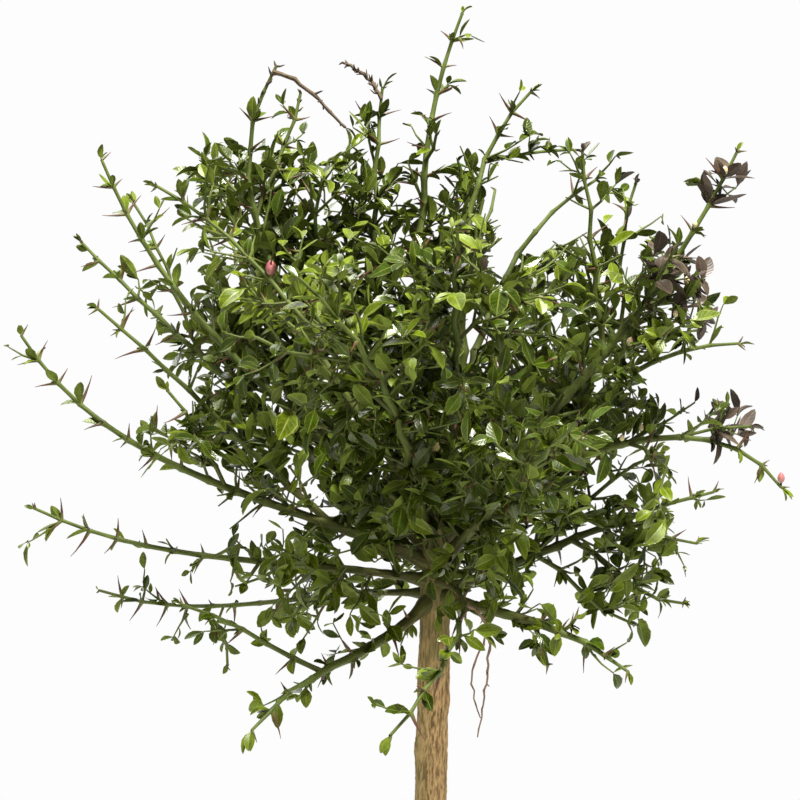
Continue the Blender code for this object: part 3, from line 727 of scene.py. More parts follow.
# The pull on a leaf's face up, out of the crown and at random, and the spread of its shape.
FACE_UP = 0.75
FACE_OUT = 0.55
FACE_STRAY = 0.42
FACE_FOCUS = Vector((CROWN_CENTRE.x, CROWN_CENTRE.y, CROWN_CENTRE.z - 0.06))
LEAF_NEARLY_ALONG = 0.1
LEAF_FOLD = (0.15, 0.60)
LEAF_BEND = (-0.35, 0.95)
LEAF_SKEW = (0.82, 1.22)
LEAF_MIDDLE = 0.55
LEAF_ROWS = (0.0, 0.08, 0.27, 0.49, 0.71, 0.90)
STALK_END = 0.1
STALK_WIDTH = 0.028
STALK_THICKNESS = 0.0003
BLADE_FROM = 0.06
BLADE_FULLNESS = 0.78
BLADE_WAVES = (0.98, 1.03)
BLADE_THICKNESS = 0.00016
LEAST_BEND = 1e-3

# The tone of a spray: by a broad noise, darker in a shaded heart and lighter at the edge of the crown.
LEAF_TONES = ("dark", "mid", "fresh", "purple")
TONE_SCALE = 22.0
TONE_VARIETY = 0.4
SHADED = ((0.035, 0.565), (0.150, 0.105))
SHADE = 0.85
LIGHTER_EDGE = 0.08
FRESH_SHARE = 0.03
MID_SHARE = 0.50
PURPLE_SIZE = 1.35
TWIG_TONE_KEPT = 0.8

# Tufts of leaves: the angles to their stem, the turn from leaf to leaf, and the spread of their sizes.
TUFT_SPLIT = (28, 78)
TIP_SPLIT = (6, 40)
TUFT_FAN = 0.9
TUFT_STRAY = (-0.3, 0.3)
TUFT_SIZES = (0.66, 1.18)
TUFT_SIZE = 0.92
RICH_TURNS = (2.1, 4.2)

# Thorns and nubs: the places along them, and how a thorn strays, bows and thins.
THORN_STRAY = (-12, 10)
THORN_MARKS = (0.0, 0.35, 0.7, 0.93)
THORN_BOW = 0.04
THORN_TAPER = 1.35
THORN_GIRTHS = (0.7, 1.0)
THORN_POINT = 0.00014
THORN_TURN = (-0.6, 0.6)
THORN_SIZES = (0.75, 1.05)
SECOND_THORN_SIZES = (0.5, 0.95)
SPRIG_THORN_SIZES = (0.6, 0.95)
SPRIG_THORN_TURN = (-0.4, 0.4)
TWIG_THORN_SIZE = 0.55
TIP_THORN_SIZE = 0.45
NUB_LEAN = 0.35
NUB_MARKS = (0.3, 0.9, 1.25, 1.5)
NUB_GIRTHS = (0.75, 0.66, 0.45, 0.12)
NUB_AGES = (0.6, 0.9, 1.0, 1.0)

# Twigs: how they stray, turn up and bend, and the density of the crown at which each of them ends.
DENSE = 0.5
TWIG_STRAY = (-16, 14)
TWIG_RISES = (0.2, 1.6)
TWIG_BEND = 0.10
TWIG_KINK = 0.10
TWIG_EDGES = (0.1, 0.7)
TWIG_AHEAD = 0.012
TWIG_AGES = (0.55, -0.05)
TWIG_LEAF_SIZES = (0.82, 1.18)
TWIG_TURN = (-0.7, 0.7)
TWIG_REACHES = (0.55, 1.12)
TWIGLET_REACHES = (0.5, 1.2)
TWIGLET_GIRTH = 0.8
LEAF_STRAY = (-16, 18)
STRAY_TWIG = (0.014, 0.034)

# Sprigs: how they lean out of the crown, turn up and end, and the twigs on them.
SPRIG_FOCUS = Vector((CROWN_CENTRE.x, CROWN_CENTRE.y, CROWN_CENTRE.z - 0.12))
SPRIG_OUT = 0.5
SPRIG_RISES = (0.1, 0.6)
SPRIG_EDGES = (0.0, 0.5)
SPRIG_KINK = 0.12
SPRIG_SHORTEST = 0.03
SPRIG_TAPER = 1.3
SPRIG_SWELL = 1.2
SPRIG_FILL = 0.4
SPRIG_UNTIL = 0.85
SPRIG_TWIG = (0.020, 0.044)

# Dead wood: the lengths, bends and radii of its spurs, and how crooked a dead twig is.
SPUR_LENGTH = (0.0030, 0.0075)
SPUR_RISES = (-0.3, 0.9)
SPUR_KNEE = 0.45
SPUR_RADII = (0.0011, 0.0008, 0.0003)
SPUR_LEAN = 0.6
DRY_NUB_LENGTH = (0.0016, 0.0042)
DRY_NUB_GIRTHS = (0.7, 0.75, 0.3)
DRY_SWELLS = (1.18, 0.94, 0.94)
DRY_SCALE = 130
DRY_STRAY = 0.0022

# Buds: their stalk, how far the foremost node wins over the nearest, and the places of their rings.
BUD_STALK = 0.0035
STALK_RADII = (0.0008, 0.0007, 0.0009)
BUD_LEAN = 0.3
BUD_PULL = Vector((0, -0.35, 0))
BUD_NEARNESS = 0.06
BUD_GIRTH = 0.36
BUD_MARKS = (0.0, 0.06, 0.18, 0.36, 0.56, 0.75, 0.9, 0.98)

# The chances of growth at a node.
SPUR_CHANCE = 0.45
SPRIG_CHANCE = 0.62
SPRIG_TWIG_CHANCE = 0.62
SPRIG_THORN_CHANCE = 0.7
STRAY_TWIG_CHANCE = 0.62
TWIG_THORN_CHANCE = 0.22
TIP_LEAF_CHANCE = 0.5
SPRIG_LEAF_CHANCE = 0.4
EXTRA_LEAF_CHANCE = 0.75
FAR_LEAF_CHANCE = 0.55
TWIG_TRIES = 5

# How many twigs a node gets in open room, what is cut off before rounding up, and how later tries turn.
TWIGS_LEAST = 0.6
TWIGS_CUT = 0.4
TRY_TURN = (-0.2, 0.2)
STRAY_TURN = (-0.5, 0.5)

# By the density of the crown, from none to full.
MORE_LEAF_CHANCES = (0.6, 1.0)
THORN_CHANCES = (0.96, 0.61)
SECOND_THORN_CHANCES = (0.8, 0.2)

# A node's surface, the leaf on its far side, the nodes on a bough, and the spurs of a dead stretch.
NODE_SURFACE = 0.5
FAR_LEAF_SIZE = 1.1
BOUGH_NODES = (0.7, 0.36)
DEAD_SPURS = 3

# How brown a stem is at its base, and how many sides its rings have.
STEM_AGE = 0.75
SPRIG_AGE = 0.5
STEM_SIDES = 10
SPRIG_SIDES = 8
TWIG_SIDES = {1: 6, 2: 5}
THIN_SIDES = 6
NUB_SIDES = 7
DRY_SIDES = 7
BUD_SIDES = 12


class Growth:
    """Grows twigs, thorns, leaves and buds on the shoots, and keeps the leaves of each tone apart."""

    def __init__(self, limbs, masses):
        self.dice = random.Random(SEED)
        self.between = self.dice.uniform
        self.leaves = {tone: [] for tone in LEAF_TONES}
        self.twigs, self.thorns, self.shoots = Pile(), Pile(), Pile()
        self.dry_twigs, self.strands = Pile(), Pile()
        self.buds = {"rosy": Pile(), "creamy": Pile()}
        self.spots = []
        lines = {}
        for name, shoots in masses.items():
            lines[name] = [p for s in shoots for p in s.path.samples(s.begin, s.path.length, WOOD_STEP)]
        self.others = {}
        for name in lines:
            self.others[name] = self.tree([p for other, ps in lines.items() if other != name for p in ps])
        wood = []
        for path, seat in limbs.values():
            wood += [(p, BOUGH_RADIUS) for p in path.samples(seat, seat + BOUGH_LENGTH, WOOD_STEP)]
        heights = [i * WOOD_STEP for i in range(math.ceil(TRUNK_RADII[-1][0] / WOOD_STEP))]
        wood += [(trunk_centre(height), trunk_radius(height)) for height in heights]
        shown = []
        for (name, number), since in SHOWN.items():
            shoot = masses[name][number]
            shown += shoot.path.samples(shoot.begin + shoot.span * since, shoot.path.length, SHOWN_STEP)
        self.shown = self.tree([Vector((*seen(p), 0)) for p in shown])
        self.shown_depths = [p.y for p in shown]
        self.wood = self.tree([p for p, _ in wood])
        self.girth = [radius for _, radius in wood]

    @staticmethod
    def tree(points):
        """A search tree of points, by their order."""
        made = KDTree(len(points))
        for i, point in enumerate(points):
            made.insert(point, i)
        made.balance()
        return made

    def blocked(self, point):
        """True in a gap of the crown, or inside a limb."""
        if open_sky(point):
            return True
        near = self.wood.find_range(point, WOOD_REACH)
        return any(distance < self.girth[i] + WOOD_ROOM for _, i, distance in near)

    def hides(self, point):
        """True if a point stands before a shoot that shows, as the eye sees it."""
        if density(point) < SHOWN_FILL:
            return False
        found = self.shown.find_range(Vector((*seen(point), 0)), SHOWN_WIDTH)
        return any(point.y < self.shown_depths[i] - SHOWN_BEHIND for _, i, _ in found)

    def leaf(self, point, direction, length, tone):
        """Remembers a leaf whose face looks up, out of the crown and a little at random."""
        out = (point - FACE_FOCUS).normalized()
        stray = Vector([self.dice.gauss(0, 1) for _ in range(3)]) * FACE_STRAY
        side = direction.cross(UP * FACE_UP + out * FACE_OUT + stray)
        if side.length < LEAF_NEARLY_ALONG:
            side = across(direction, 0)
        side.normalize()
        tip = point + direction * length
        marks = (tip, point.lerp(tip, LEAF_MIDDLE))
        if any(self.blocked(mark) for mark in marks):
            return
        if self.dice.random() < SHOWN_STRICT and any(self.hides(mark) for mark in marks):
            return
        shape = [self.between(*spread) for spread in (LEAF_WIDTH, LEAF_FOLD, LEAF_BEND, LEAF_SKEW)]
        self.leaves[tone].append((point, direction, side, length, *shape))

    def tone(self, point):
        """The colour of a spray: by the patch it stands in, or else by chance, darker as painted shade in the
        heart of the crown and lighter towards its edge.
        """
        spot = seen(point)
        for middle, radii, tone, chance in PATCHES:
            if inside(spot, middle, radii) < 1 and self.dice.random() < chance:
                return tone
        roll = self.dice.random() - noise.noise(point * TONE_SCALE) * TONE_VARIETY
        # Painted shade: more dark sprays in the heart of the crown, and lighter ones towards its edge.
        roll += SHADE * max(0.0, 1 - inside(spot, *SHADED)) - LIGHTER_EDGE * (1 - density(point))
        if roll < FRESH_SHARE:
            return "fresh"
        return "mid" if roll < MID_SHARE else "dark"

    def cluster(self, point, tangent, roll, count, size, tone, splits=TUFT_SPLIT):
        """A tuft of leaves in the crook of a node."""
        for i in range(count):
            split = math.radians(self.between(*splits))
            turn = roll + (i - (count - 1) / 2) * TUFT_FAN + self.between(*TUFT_STRAY)
            direction = leaning(tangent, turn, split).normalized()
            length = self.between(*LEAF_LENGTH) * size * self.between(*TUFT_SIZES)
            self.leaf(point, direction, length, tone)

    def thorn(self, point, tangent, roll, size):
        """A slender spine, bowed a little."""
        split = math.radians(THORN_SPLIT + self.between(*THORN_STRAY))
        direction = leaning(tangent, roll, split)
        length = self.between(*THORN_LENGTH) * size
        bow = across(direction, self.between(0, math.tau)) * length * THORN_BOW
        points = [point + direction * length * m + bow * math.sin(m * math.pi) for m in THORN_MARKS]
        if self.blocked(points[-1]):
            return
        radius = THORN_RADIUS * blend(*THORN_GIRTHS, size)
        radii = [radius * (1 - m) ** THORN_TAPER + THORN_POINT for m in THORN_MARKS]
        tube(self.thorns, points, radii, THIN_SIDES, [0] * len(points), ends=(False, True))

    def nub(self, point, tangent, roll, girth):
        """The brown cushion on a node, where its leaf and thorn sit."""
        side = (across(tangent, roll) + tangent * NUB_LEAN).normalized()
        points = [point + side * girth * m for m in NUB_MARKS]
        radii = [girth * share for share in NUB_GIRTHS]
        tube(self.shoots, points, radii, NUB_SIDES, NUB_AGES, ends=(False, True))

    def twig(self, point, tangent, roll, length, radius, tone, level, fill):
        """A leafy twig that leaves its stem at an angle and turns up towards the light."""
        split = math.radians(TWIG_SPLIT + self.between(*TWIG_STRAY))
        direction = leaning(tangent, roll, split).normalized()
        rise = (direction + UP * TWIG_RISE * self.between(*TWIG_RISES)).normalized()
        count = max(2, round(length / TWIG_NODE_STEP))
        points, tangents, at = [point], [direction], point.copy()
        bend = Vector([self.dice.gauss(0, TWIG_BEND) for _ in range(3)])
        edge = self.between(*TWIG_EDGES) if fill > DENSE else -1
        for i in range(count):
            share = (i + 1) / count
            ahead = direction.lerp(rise, share) + bend * share + across(direction, i * math.pi) * TWIG_KINK
            ahead.normalize()
            at = at + ahead * (length / count)
            points.append(at.copy())
            tangents.append(ahead)
            if self.blocked(at) or density(at + ahead * TWIG_AHEAD) < edge or self.hides(at):
                if i < 1:
                    return False
                break
        n = len(points) - 1
        radii = [blend(radius, TWIG_TIP_RADIUS, i / n) for i in range(n + 1)]
        ages = [max(0.0, blend(*TWIG_AGES, i / n)) for i in range(n + 1)]
        tube(self.twigs, points, radii, TWIG_SIDES[level], ages, ends=(False, True))
        roll = self.between(0, math.tau)
        size = blend(*TWIG_LEAF_SIZES, fill)
        for i in range(1, n + 1):
            node = (points[i], tangents[i])
            roll += math.pi + self.between(*TWIG_TURN)
            here = tone if self.dice.random() < TWIG_TONE_KEPT else self.tone(points[i])
            if i == n:
                self.cluster(*node, roll, 2 + (self.dice.random() < TIP_LEAF_CHANCE), size, here)
                continue
            split = math.radians(LEAF_SPLIT + self.between(*LEAF_STRAY))
            outward = leaning(tangents[i], roll, split).normalized()
            self.leaf(points[i], outward, self.between(*LEAF_LENGTH) * size, here)
            if level == 1 and self.dice.random() < TWIGLET_SHARE * fill:
                reach = TWIGLET_LENGTH * self.between(*TWIGLET_REACHES)
                self.twig(*node, roll + math.pi / 2, reach, radii[i] * TWIGLET_GIRTH, here, 2, fill)
            elif self.dice.random() < TWIG_THORN_CHANCE:
                self.thorn(*node, roll + math.pi, TWIG_THORN_SIZE)
        return True

    def sprig(self, point, tangent, roll, length, radius, fill):
        """A spiny side shoot inside the crown, with leaves, thorns and twigs at its nodes."""
        split = math.radians(self.between(*SPRIG_SPLIT))
        direction = leaning(tangent, roll, split).normalized()
        out = (point - SPRIG_FOCUS).normalized()
        end = (direction + out * SPRIG_OUT + UP * self.between(*SPRIG_RISES)).normalized()
        steps = round(length / SPRIG_STEP)
        edge = self.between(*SPRIG_EDGES)
        points, tangents, at = [point], [direction], point.copy()
        for i in range(steps):
            ahead = direction.lerp(end, (i + 1) / steps)
            kink = across(ahead, round(i * SPRIG_STEP / SPRIG_NODE_STEP) * math.pi) * SPRIG_KINK
            ahead = (ahead + kink).normalized()
            at = at + ahead * SPRIG_STEP
            if self.blocked(at) or density(at) < edge or self.hides(at):
                break
            points.append(at.copy())
            tangents.append(ahead)
        n = len(points) - 1
        if n * SPRIG_STEP < SPRIG_SHORTEST:
            return False
        radii = [blend(radius, SPRIG_TIP_RADIUS, (i / n) ** SPRIG_TAPER) for i in range(n + 1)]
        ages = [SPRIG_AGE * (1 - i / n) ** 2 for i in range(n + 1)]
        step = round(SPRIG_NODE_STEP / SPRIG_STEP)
        for i in range(step, n, step):
            radii[i] *= SPRIG_SWELL
        tube(self.shoots, points, radii, SPRIG_SIDES, ages)
        roll = self.between(0, math.tau)
        for i in [*range(step, n - 1, step), n]:
            node = (points[i], tangents[i])
            roll += GOLDEN_TURN
            tone = self.tone(points[i])
            last = i == n
            if not last and self.dice.random() < SPRIG_TWIG_CHANCE * fill:
                reach = self.between(*SPRIG_TWIG)
                self.twig(*node, roll + 2, reach, min(TWIG_RADIUS, radii[i]), tone, 1, fill)
            self.cluster(*node, roll, 2 + last + (self.dice.random() < SPRIG_LEAF_CHANCE), 1.0, tone)
            if self.dice.random() < SPRIG_THORN_CHANCE:
                turn = roll + self.between(*SPRIG_THORN_TURN)
                self.thorn(*node, turn, self.between(*SPRIG_THORN_SIZES))
            self.spots.append(node)
        return True

    def branch(self, point, tangent, roll, girth, share, fill, tone, room, last):
        """The sprig and twigs of a node: more where the crown is dense and the next limb is far."""
        length = blend(TWIG_SHORT, TWIG_LENGTH, fill)
        wanted = math.ceil(fill * min(TWIGS_MOST, TWIGS_LEAST + room / TWIG_ROOM) - TWIGS_CUT)
        grown = 0
        if fill > SPRIG_FILL and share < SPRIG_UNTIL and self.dice.random() < SPRIG_CHANCE:
            reach = self.between(*SPRIG_LENGTH)
            radius = max(TWIG_RADIUS, girth * SPRIG_SHARE)
            grown += self.sprig(point, tangent, roll + 1.0, reach, radius, fill)
        for attempt in range(TWIG_TRIES):
            if grown < wanted:
                turn = roll + attempt * GOLDEN_TURN + self.between(*TRY_TURN)
                reach = length * self.between(*TWIG_REACHES)
                grown += self.twig(point, tangent, turn, reach, TWIG_RADIUS, self.tone(point), 1, fill)
        if not grown and self.dice.random() < STRAY_TWIG_CHANCE and not last:
            reach = self.between(*STRAY_TWIG)
            self.twig(point, tangent, roll + self.between(*STRAY_TURN), reach, TWIG_RADIUS, tone, 1, fill)

    def dress(self, point, tangent, roll, girth, fill, tone, tuft, side):
        """The leaves, thorns and nub on the surface of a node."""
        surface = point + across(tangent, roll) * girth * NODE_SURFACE
        rich = tone == "purple"
        self.cluster(surface, tangent, roll, tuft, PURPLE_SIZE if rich else TUFT_SIZE, tone)
        if rich:
            for turn in RICH_TURNS:
                self.cluster(surface, tangent, roll + turn, 2, PURPLE_SIZE, tone)
        if fill < DENSE and self.dice.random() < FAR_LEAF_CHANCE:
            self.cluster(surface, tangent, roll + math.pi, 1, FAR_LEAF_SIZE, tone)
        if self.dice.random() < blend(*THORN_CHANCES, fill):
            self.thorn(point, tangent, side + self.between(*THORN_TURN), self.between(*THORN_SIZES))
            if self.dice.random() < blend(*SECOND_THORN_CHANCES, fill):
                turn = self.between(*THORN_TURN) - side
                self.thorn(point, tangent, turn, self.between(*SECOND_THORN_SIZES))
        self.nub(point, tangent, roll, girth)

    def grow(self, name, number, shoot, bare_from):
        """Everything that grows on the nodes of a shoot, which is dead from a share of it on."""
        marks = shoot.nodes(NODE_STEP)
        line = shoot.kinked(marks)
        if not number:
            early = [shoot.begin - BOUGH_LENGTH * part for part in BOUGH_NODES]
            marks = early + marks
            line = [shoot.path.at(mark)[0] for mark in early] + line
        roll = self.between(0, math.tau)
        for i, (distance, point) in enumerate(zip(marks, line)):
            if number and i == 0:
                continue
            share = max(0.0, shoot.share(distance))
            tangent = shoot.path.at(distance)[1]
            if share > bare_from:
                for part in range(DEAD_SPURS):
                    self.spurs(*shoot.path.at(distance - NODE_STEP * part / DEAD_SPURS), 2)
                continue
            if self.dice.random() < SPUR_CHANCE:
                self.spurs(point, tangent, 1)
            roll += GOLDEN_TURN
            fill = density(point)
            tone = self.tone(point)
            girth = shoot.thickness(max(distance, shoot.begin))
            room = self.others[name].find(point)[2]
            last = i == len(marks) - 1
            self.branch(point, tangent, roll, girth, share, fill, tone, room, last)
            tuft = 3 if tone == "purple" else 1
            tuft += self.dice.random() < EXTRA_LEAF_CHANCE
            tuft += self.dice.random() < blend(*MORE_LEAF_CHANCES, fill)
            self.spots.append((point, tangent))
            if last:
                size = LARGE_TIPS.get((name, number), TIP_SIZE)
                self.cluster(point, tangent, roll, 3, size, tone, TIP_SPLIT)
                self.thorn(point, tangent, roll, TIP_THORN_SIZE)
            else:
                self.dress(point, tangent, roll, girth, fill, tone, tuft, math.pi * (i % 2 - 0.5))

    def stem(self, shoot):
        """The shoot itself, kinked and a little swollen at each node."""
        marks = shoot.nodes(NODE_STEP)
        line = shoot.kinked(marks)
        points, radii, ages = [], [], []
        for i, (mark, point) in enumerate(zip(marks[:-1], line)):
            for share, swell in NODE_SWELLS:
                distance = mark + (marks[i + 1] - mark) * share
                points.append(point.lerp(line[i + 1], share))
                radii.append(shoot.thickness(distance) * (swell if i or share else 1.0))
                ages.append(STEM_AGE * (1 - shoot.share(distance)) ** 2)
        points.append(line[-1])
        radii.append(SHOOT_TIP_RADIUS)
        ages.append(0.0)
        tube(self.shoots, points, radii, STEM_SIDES, ages)

    def spurs(self, point, tangent, count):
        """Short crooked spurs of dead wood round a node."""
        for _ in range(count):
            side = (tangent * SPUR_LEAN + across(tangent, self.between(0, math.tau))).normalized()
            bent = (side + UP * self.between(*SPUR_RISES)).normalized()
            reach = self.between(*SPUR_LENGTH)
            knee = point + side * reach * SPUR_KNEE
            ends = [point, knee, knee + bent * reach * (1 - SPUR_KNEE)]
            tube(self.dry_twigs, ends, SPUR_RADII, THIN_SIDES, [1, 1, 1])

    def dry(self, pile, points, thick, thin, nubs, spurs):
        """A dead twig, crooked and bare but for a few nubs and spurs, which come by their chances."""
        line = [Vector(points[0])]
        for i, point in enumerate(points[1:-1]):
            stray = Vector([noise.noise(point * DRY_SCALE + Vector((k * 7, i * 0.6, 0))) for k in range(3)])
            line.append(point + stray * DRY_STRAY)
        line.append(Vector(points[-1]))
        n = len(line) - 1
        radii = [blend(thick, thin, i / n) * DRY_SWELLS[i % len(DRY_SWELLS)] for i in range(n + 1)]
        tube(pile, line, radii, DRY_SIDES, [i / n for i in range(n + 1)])
        for i in range(1, n + 1):
            ahead = (line[i] - line[i - 1]).normalized()
            if self.dice.random() < nubs:
                side = (ahead * SPUR_LEAN + across(ahead, self.between(0, math.tau))).normalized()
                reach = self.between(*DRY_NUB_LENGTH)
                ends = [line[i] + side * reach * share for share in (0, 0.5, 1)]
                tube(pile, ends, [radii[i] * girth for girth in DRY_NUB_GIRTHS], THIN_SIDES, [1, 1, 1])
            if self.dice.random() < spurs:
                self.spurs(line[i], ahead, 2)

    def bud(self, place, length, kind):
        """A flower bud on a short stalk, on the foremost node near its place as the eye sees it."""

        def apart(spot):
            x, z = seen(spot[0])
            return math.hypot(x - place[0], z - place[1]) + BUD_NEARNESS * (spot[0].y - EYE.y)

        point, tangent = min(self.spots, key=apart)
        side = across(tangent, self.between(0, math.tau)) * BUD_LEAN
        direction = (side + UP + BUD_PULL).normalized()
        base = point + direction * BUD_STALK
        tube(self.twigs, [point, point.lerp(base, 0.5), base], STALK_RADII, THIN_SIDES, [0, 0, 0])
        points = [base + direction * length * m for m in BUD_MARKS]
        bulges = [math.sin(math.pi * (0.05 + 0.93 * m) ** 0.85) for m in BUD_MARKS]
        radii = [length * BUD_GIRTH * bulge**0.62 for bulge in bulges]
        tube(self.buds[kind], points, radii, BUD_SIDES, [0] * len(points))


def leaf_meshes(pile, leaves):
    """Thin closed leaves: a folded upper face and a paler underside that share their margin."""
    root, direction, side = (np.array([tuple(leaf[i]) for leaf in leaves]) for i in range(3))
    length, wide, fold, bend, skew = (np.array([leaf[i] for leaf in leaves]) for i in range(3, 8))
    lift = np.cross(side, direction)
    bend_safe = np.where(np.abs(bend) < LEAST_BEND, LEAST_BEND, bend)

    def midline(t):
        along = length * np.sin(bend_safe * t) / bend_safe
        drop = length * (1 - np.cos(bend_safe * t)) / bend_safe
        return root + direction * along[:, None] - lift * drop[:, None]

    rings, uvs = [], []
    for k, t in enumerate(LEAF_ROWS):
        stalk = t < STALK_END
        blade = max(0.0, (t - BLADE_FROM) / (1 - BLADE_FROM))
        outline = 0.5 * np.sin(math.pi * blade**skew) ** BLADE_FULLNESS
        half = (STALK_WIDTH * length if stalk else outline * length * wide) * BLADE_WAVES[k % 2]
        angle = bend * t
        up = lift * np.cos(angle)[:, None] + direction * np.sin(angle)[:, None]
        edge = up * (half * fold)[:, None]
        thick = up * (STALK_THICKNESS if stalk else BLADE_THICKNESS)
        reach = side * half[:, None]
        middle = midline(t)
        rings += [middle - reach + edge, middle + thick, middle + reach + edge, middle - thick]
        uvs += [(0.0, t), (0.5, t), (1.0, t), (0.5, t)]
    rings.append(midline(1.0))
    uvs.append((0.5, 1.0))
    points = np.stack(rings, 1)
    per = points.shape[1]
    last = 4 * (len(LEAF_ROWS) - 1)
    faces = []
    for k in range(0, last, 4):
        for a in range(4):
            b = (a + 1) % 4
            faces.append((k + a, k + b, k + 4 + b, k + 4 + a))
    for a in range(4):
        faces.append((last + a, last + (a + 1) % 4, per - 1, -1))
    faces.append((3, 2, 1, 0))
    slots = np.array([0, 0, 1, 1] * len(LEAF_ROWS) + [1])
    faces = np.array(faces)[:, ::-1]
    faces = np.where((faces < 0).any(1)[:, None], np.roll(faces, -1, 1), faces)
    n = len(leaves)
    shifted = np.where(faces < 0, -1, faces + (np.arange(n) * per)[:, None, None])
    pile.add(points.reshape(-1, 3), shifted.reshape(-1, 4), np.tile(np.array(uvs), (n, 1)), np.tile(slots, n))


# ---------------------------------------------------------------- trunk and boughs

BARK_NET = ((420.0, 0.17), (900.0, 0.20), (1600.0, 0.36))
BARK_FADE = 0.6
BARK_SHARPNESS = 2.6
BARK_DRIFT = 0.16
DRIFT_SCALE = 150
DRIFT_RISE = 60
BARK_DEPTH = 0.0010
BARK_SIDES = 132
BARK_RISE = 0.0019
BARK_BULGE = 0.0007
BULGE_RISE = 32
TRUNK_LUMPS = ((0.336, 180, 0.0014, 0.010), (0.372, 0, 0.0012, 0.008))
BOUGH_SIDES = 16
BOUGH_RINGS = 34
BOUGH_OVERLAP = 0.001
BOUGH_BULGE = 0.0004
BOUGH_BULGE_SCALE = 170
BOUGH_AGES = (1.3, 0.4)
COLLAR = 0.0030
COLLAR_LENGTH = 0.008


def bark_relief(angle, height, radius):
    """0 in a hollow and 1 on a ridge, for a fine net of upright ridges."""
    spot = Vector((math.cos(angle), math.sin(angle), 0)) * radius
    place = Vector((spot.x * DRIFT_SCALE, spot.y * DRIFT_SCALE, height * DRIFT_RISE))
    drift = noise.noise(place) * BARK_DRIFT
    turned = Vector((math.cos(angle + drift), math.sin(angle + drift), 0)) * radius
    value, weight, total = 0.0, 1.0, 0.0
    for scale, stretch in BARK_NET:
        here = noise.noise(Vector((turned.x * scale, turned.y * scale, height * scale * stretch)))
        value += weight * (1 - abs(here) * BARK_SHARPNESS)
        total += weight
        weight *= BARK_FADE
    return min(1.0, max(0.0, value / total))


def lump(height, angle, at, toward, size, spread):
    """A swelling on one side of the trunk."""
    turn = math.cos(angle - math.radians(toward))
    return size * math.exp(-(((height - at) / spread) ** 2)) * max(0.0, turn) ** 3


def build_trunk(paint):
    """The trunk, closed at its foot and head, with its bark's relief kept as the age of each point."""
    top = TRUNK_RADII[-1][0]
    rows = round(top / BARK_RISE)
    points, relief = [], []
    for row in range(rows + 1):
        height = top * row / rows
        centre, base = trunk_centre(height), trunk_radius(height)
        lobe = FLARE_DEPTH * math.exp(-height / FLARE_HEIGHT)
        for i in range(BARK_SIDES):
            angle = math.tau * i / BARK_SIDES
            ridge = bark_relief(angle, height, base)
            radius = base + lobe * math.cos(FLARE_LOBES * angle)
            place = Vector((math.cos(angle), math.sin(angle), height * BULGE_RISE))
            radius += BARK_BULGE * noise.noise(place)
            radius += sum(lump(height, angle, *sizes) for sizes in TRUNK_LUMPS)
            radius += (ridge - 0.5) * BARK_DEPTH
            points.append(tuple(centre + Vector((math.cos(angle), math.sin(angle), 0)) * radius))
            relief.append(ridge)
    i, j, faces = ring_faces(BARK_SIDES, rows)
    end, foot = rows * BARK_SIDES, len(points)
    faces += [fan(j, i, foot), fan(end + i, end + j, foot + 1)]
    points = np.vstack([points, (0, 0, 0), tuple(trunk_centre(top))])
    points[:BARK_SIDES, 2] = 0.0
    faces = np.concatenate(faces)
    uvs = np.stack([np.arctan2(points[:, 1], points[:, 0]) / math.tau, points[:, 2]], 1)
    pile = Pile()
    pile.add(points, faces, uvs, np.zeros(len(faces)), np.append(relief, (1.0, 1.0)))
    return pile.make("trunk_bark", [paint], BARK_ANGLE)


def build_boughs(limbs, paint):
    """The start of each limb, thicker where it leaves the trunk and brown at its base."""
    pile = Pile()
    for name, (path, seat) in limbs.items():
        end = seat + BOUGH_LENGTH + BOUGH_OVERLAP
        marks = [end * i / BOUGH_RINGS for i in range(BOUGH_RINGS + 1)]
        points = [path.at(mark)[0] for mark in marks]
        radii, ages = [], []
        for mark, point in zip(marks, points):
            past = max(0.0, mark - seat)
            girth = blend(BOUGH_RADIUS, SHOOT_RADIUS, mark / end) * SLIM.get(name, 1)
            collar = COLLAR * math.exp(-past / COLLAR_LENGTH)
            radii.append(girth + collar + BOUGH_BULGE * noise.noise(point * BOUGH_BULGE_SCALE))
            ages.append(min(1.0, blend(*BOUGH_AGES, past / BOUGH_LENGTH)))
        tube(pile, points, radii, BOUGH_SIDES, ages)
    return pile.make("boughs_bark", [paint], BARK_ANGLE)


# ---------------------------------------------------------------- the tree

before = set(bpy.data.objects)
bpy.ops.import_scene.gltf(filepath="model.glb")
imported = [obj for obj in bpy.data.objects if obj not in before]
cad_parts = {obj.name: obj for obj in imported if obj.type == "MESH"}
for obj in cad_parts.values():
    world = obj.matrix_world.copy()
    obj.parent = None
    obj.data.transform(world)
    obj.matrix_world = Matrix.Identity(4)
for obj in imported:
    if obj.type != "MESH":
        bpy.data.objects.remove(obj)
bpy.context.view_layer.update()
nodes = list(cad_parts)

BARK = bark_paint("bark", (0.318, 0.205, 0.088), (0.088, 0.052, 0.018), (0.115, 0.104, 0.028))
GREEN = stem_paint("green_wood", (0.045, 0.064, 0.010), (0.034, 0.027, 0.008), (0.100, 0.108, 0.024))
THORN = thorn_paint("thorn", (0.068, 0.072, 0.018), (0.050, 0.022, 0.012))
DRY = dry_paint("dry_wood", (0.048, 0.033, 0.017), (0.088, 0.060, 0.035))
STRAND = dry_paint("dry_strand", (0.120, 0.070, 0.042), (0.260, 0.175, 0.115))
BUDS = {
    "rosy": bud_paint("bud_rosy", (0.25, 0.10, 0.075), (0.20, 0.034, 0.044)),
    "creamy": bud_paint("bud_creamy", (0.34, 0.32, 0.13), (0.56, 0.36, 0.24)),
}
UNDER = leaf_paint("leaf_under", (0.054, 0.074, 0.008), (0.11, 0.130, 0.028), 0.60, 0.06)
